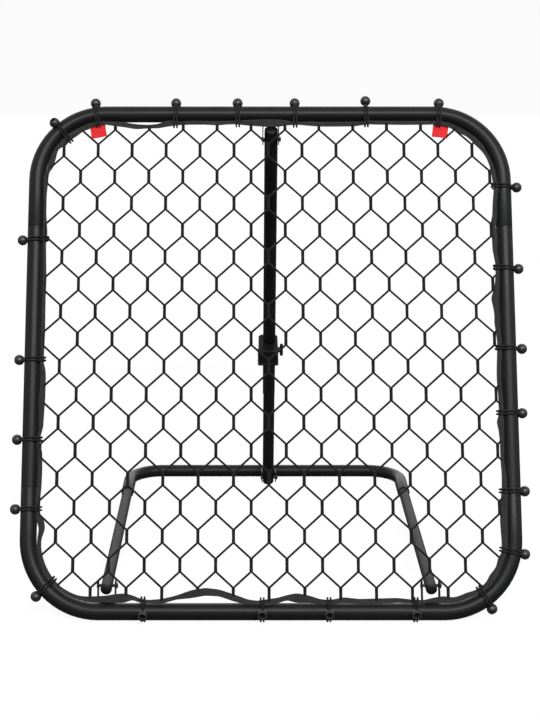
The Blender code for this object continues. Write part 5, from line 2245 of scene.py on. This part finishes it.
@dataclass
class Studio:
    """The camera, the lamps, the floor and the backdrop."""

    location: tuple = (-0.04578, -3.30198, 1.44385)
    tilt: float = math.pi / 2 - 0.25297
    lens: float = 84.477
    shift_x: float = 22.965 / 720
    shift_y: float = -88.15 / 720
    floor_z: float = -0.0006
    panel_size: float = 32.0
    fill: float = 0.35

    def build(self) -> None:
        """Set up everything that isn't the object."""
        self.camera()
        self.panel("floor", (0.0, 0.0, self.floor_z), 0.0, grey=0.11, shown=0.925, mirrored=0.06)
        self.panel("backdrop", (0.0, 15.5, 8.0), math.pi / 2, grey=0.3, shown=1.0, mirrored=1.0)
        self.world()
        self.lamp("key_strip", (1.3, -4.9, 4.75), (1.3, -0.1, 0.45), (5.6, 0.40), 430.0)
        self.lamp("rear_fill", (0.0, 5.2, 1.8), (0.0, 0.0, 0.45), (6.0, 3.0), 80.0)

    def camera(self) -> None:
        """Add the camera at the photograph's viewpoint."""
        data = bpy.data.cameras.new("camera")
        data.lens = self.lens
        data.sensor_width = 36.0
        data.sensor_fit = "AUTO"
        data.shift_x = self.shift_x
        data.shift_y = self.shift_y
        data.clip_end = 60.0
        camera = bpy.data.objects.new("camera", data)
        camera.location = self.location
        camera.rotation_euler = (self.tilt, 0.0, 0.0)
        bpy.context.scene.collection.objects.link(camera)
        bpy.context.scene.camera = camera

    def lamp(self, name: str, location: tuple, target: tuple, size: tuple, power: float) -> None:
        """Add one rectangular soft lamp that faces a target.

        Args:
            name: the lamp's name.
            location: where it stands.
            target: what it faces.
            size: its width and height.
            power: its power in watts.
        """
        data = bpy.data.lights.new(name, "AREA")
        data.shape = "RECTANGLE"
        data.size, data.size_y = size
        data.energy = power
        obj = bpy.data.objects.new(name, data)
        obj.location = location
        obj.rotation_euler = (Vector(target) - Vector(location)).to_track_quat("-Z", "Y").to_euler()
        obj.visible_camera = False
        bpy.context.scene.collection.objects.link(obj)

    @staticmethod
    def shown_white(graph: Graph, mirrored: float = 1.0) -> bpy.types.NodeSocket:
        """Tell by what kind of ray a surface is seen.

        Args:
            graph: the material's or the world's graph.
            mirrored: what glossy and transmission rays get.

        Returns:
            1 for camera rays, that share, or 0 for the others.
        """
        path = graph.add("LightPath")
        first = graph.math("MAXIMUM", path.outputs["Is Glossy Ray"], path.outputs["Is Transmission Ray"])
        return graph.math("MAXIMUM", graph.math("MULTIPLY", first, mirrored), path.outputs["Is Camera Ray"])

    def panel(
        self, name: str, location: tuple, turn: float, *, grey: float, shown: float, mirrored: float
    ) -> None:
        """Set up a large matt square that isn't part of the object and shows plain white.

        Args:
            name: its name.
            location: its middle.
            turn: its turn about X from lying flat.
            grey: how much of the light that falls on it is thrown back.
            shown: how much plain white the camera sees on top.
            mirrored: what share of that reflections see.
        """
        bpy.ops.mesh.primitive_plane_add(
            size=self.panel_size, location=location, rotation=(turn, 0.0, 0.0)
        )
        obj = bpy.context.object
        obj.name = name
        bpy.ops.object.transform_apply(location=True, rotation=True)
        material = bpy.data.materials.new(name + "_white")
        material.use_nodes = True
        graph = Graph(material.node_tree)
        noise = graph.noise(graph.add("TexCoord").outputs["Object"], 3.0, 2.0)
        tones = [rgb(tone, tone, tone) for tone in (grey * 0.98, grey)]
        graph.fill(
            material.node_tree.nodes["Principled BSDF"].inputs,
            Base_Color=graph.mix(noise, *tones),
            Roughness=0.95,
            Specular_IOR_Level=0.0,
            Emission_Color=rgb(1.0, 1.0, 1.0),
            Emission_Strength=graph.math("MULTIPLY", self.shown_white(graph, mirrored), shown),
        )
        obj.data.materials.append(material)

    def world(self) -> None:
        """Light the room evenly and show white to the camera."""
        world = bpy.data.worlds.new("studio")
        world.use_nodes = True
        graph = Graph(world.node_tree)
        strength = graph.ramp(self.shown_white(graph), 0.0, 1.0, self.fill, 1.0)
        graph.fill(
            world.node_tree.nodes["Background"].inputs, Color=rgb(1.0, 1.0, 1.0), Strength=strength
        )
        bpy.context.scene.world = world


def main() -> None:
    """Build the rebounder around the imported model."""
    logging.basicConfig(level=logging.INFO, format="%(message)s", force=True)
    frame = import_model()
    axes = Axes.from_joints(frame["joints"])
    frame_place = axes.frame()
    palette = Palette(-math.atan2(axes.slide.y, -axes.slide.z))
    outline = Outline()
    lacing = Lacing(outline)

    NetFrame(frame_place, palette, outline).build()
    FrameBrackets(frame_place, palette).build()
    StrutBracket(frame_place, palette).build()
    base_place = Matrix.Translation((BASE_ASIDE, 0.0, 0.0)) @ axes.base(Vector(CROSSBAR))
    GroundBase(base_place, palette).build()
    Strut(Matrix.Translation((STRUT_ASIDE, 0.0, 0.0)) @ axes.strut(), palette).build()
    Net(frame_place, palette, lacing).build()
    Hem(frame_place, palette, lacing).build()
    Loops(frame_place, palette, lacing).build()
    RedTabs(frame_place, palette).build("net_hem_webbing")
    Studio().build()

    bpy.context.scene.view_settings.view_transform = "Standard"
    clear_selection()
    bpy.context.view_layer.update()


if __name__ == "__main__":
    main()
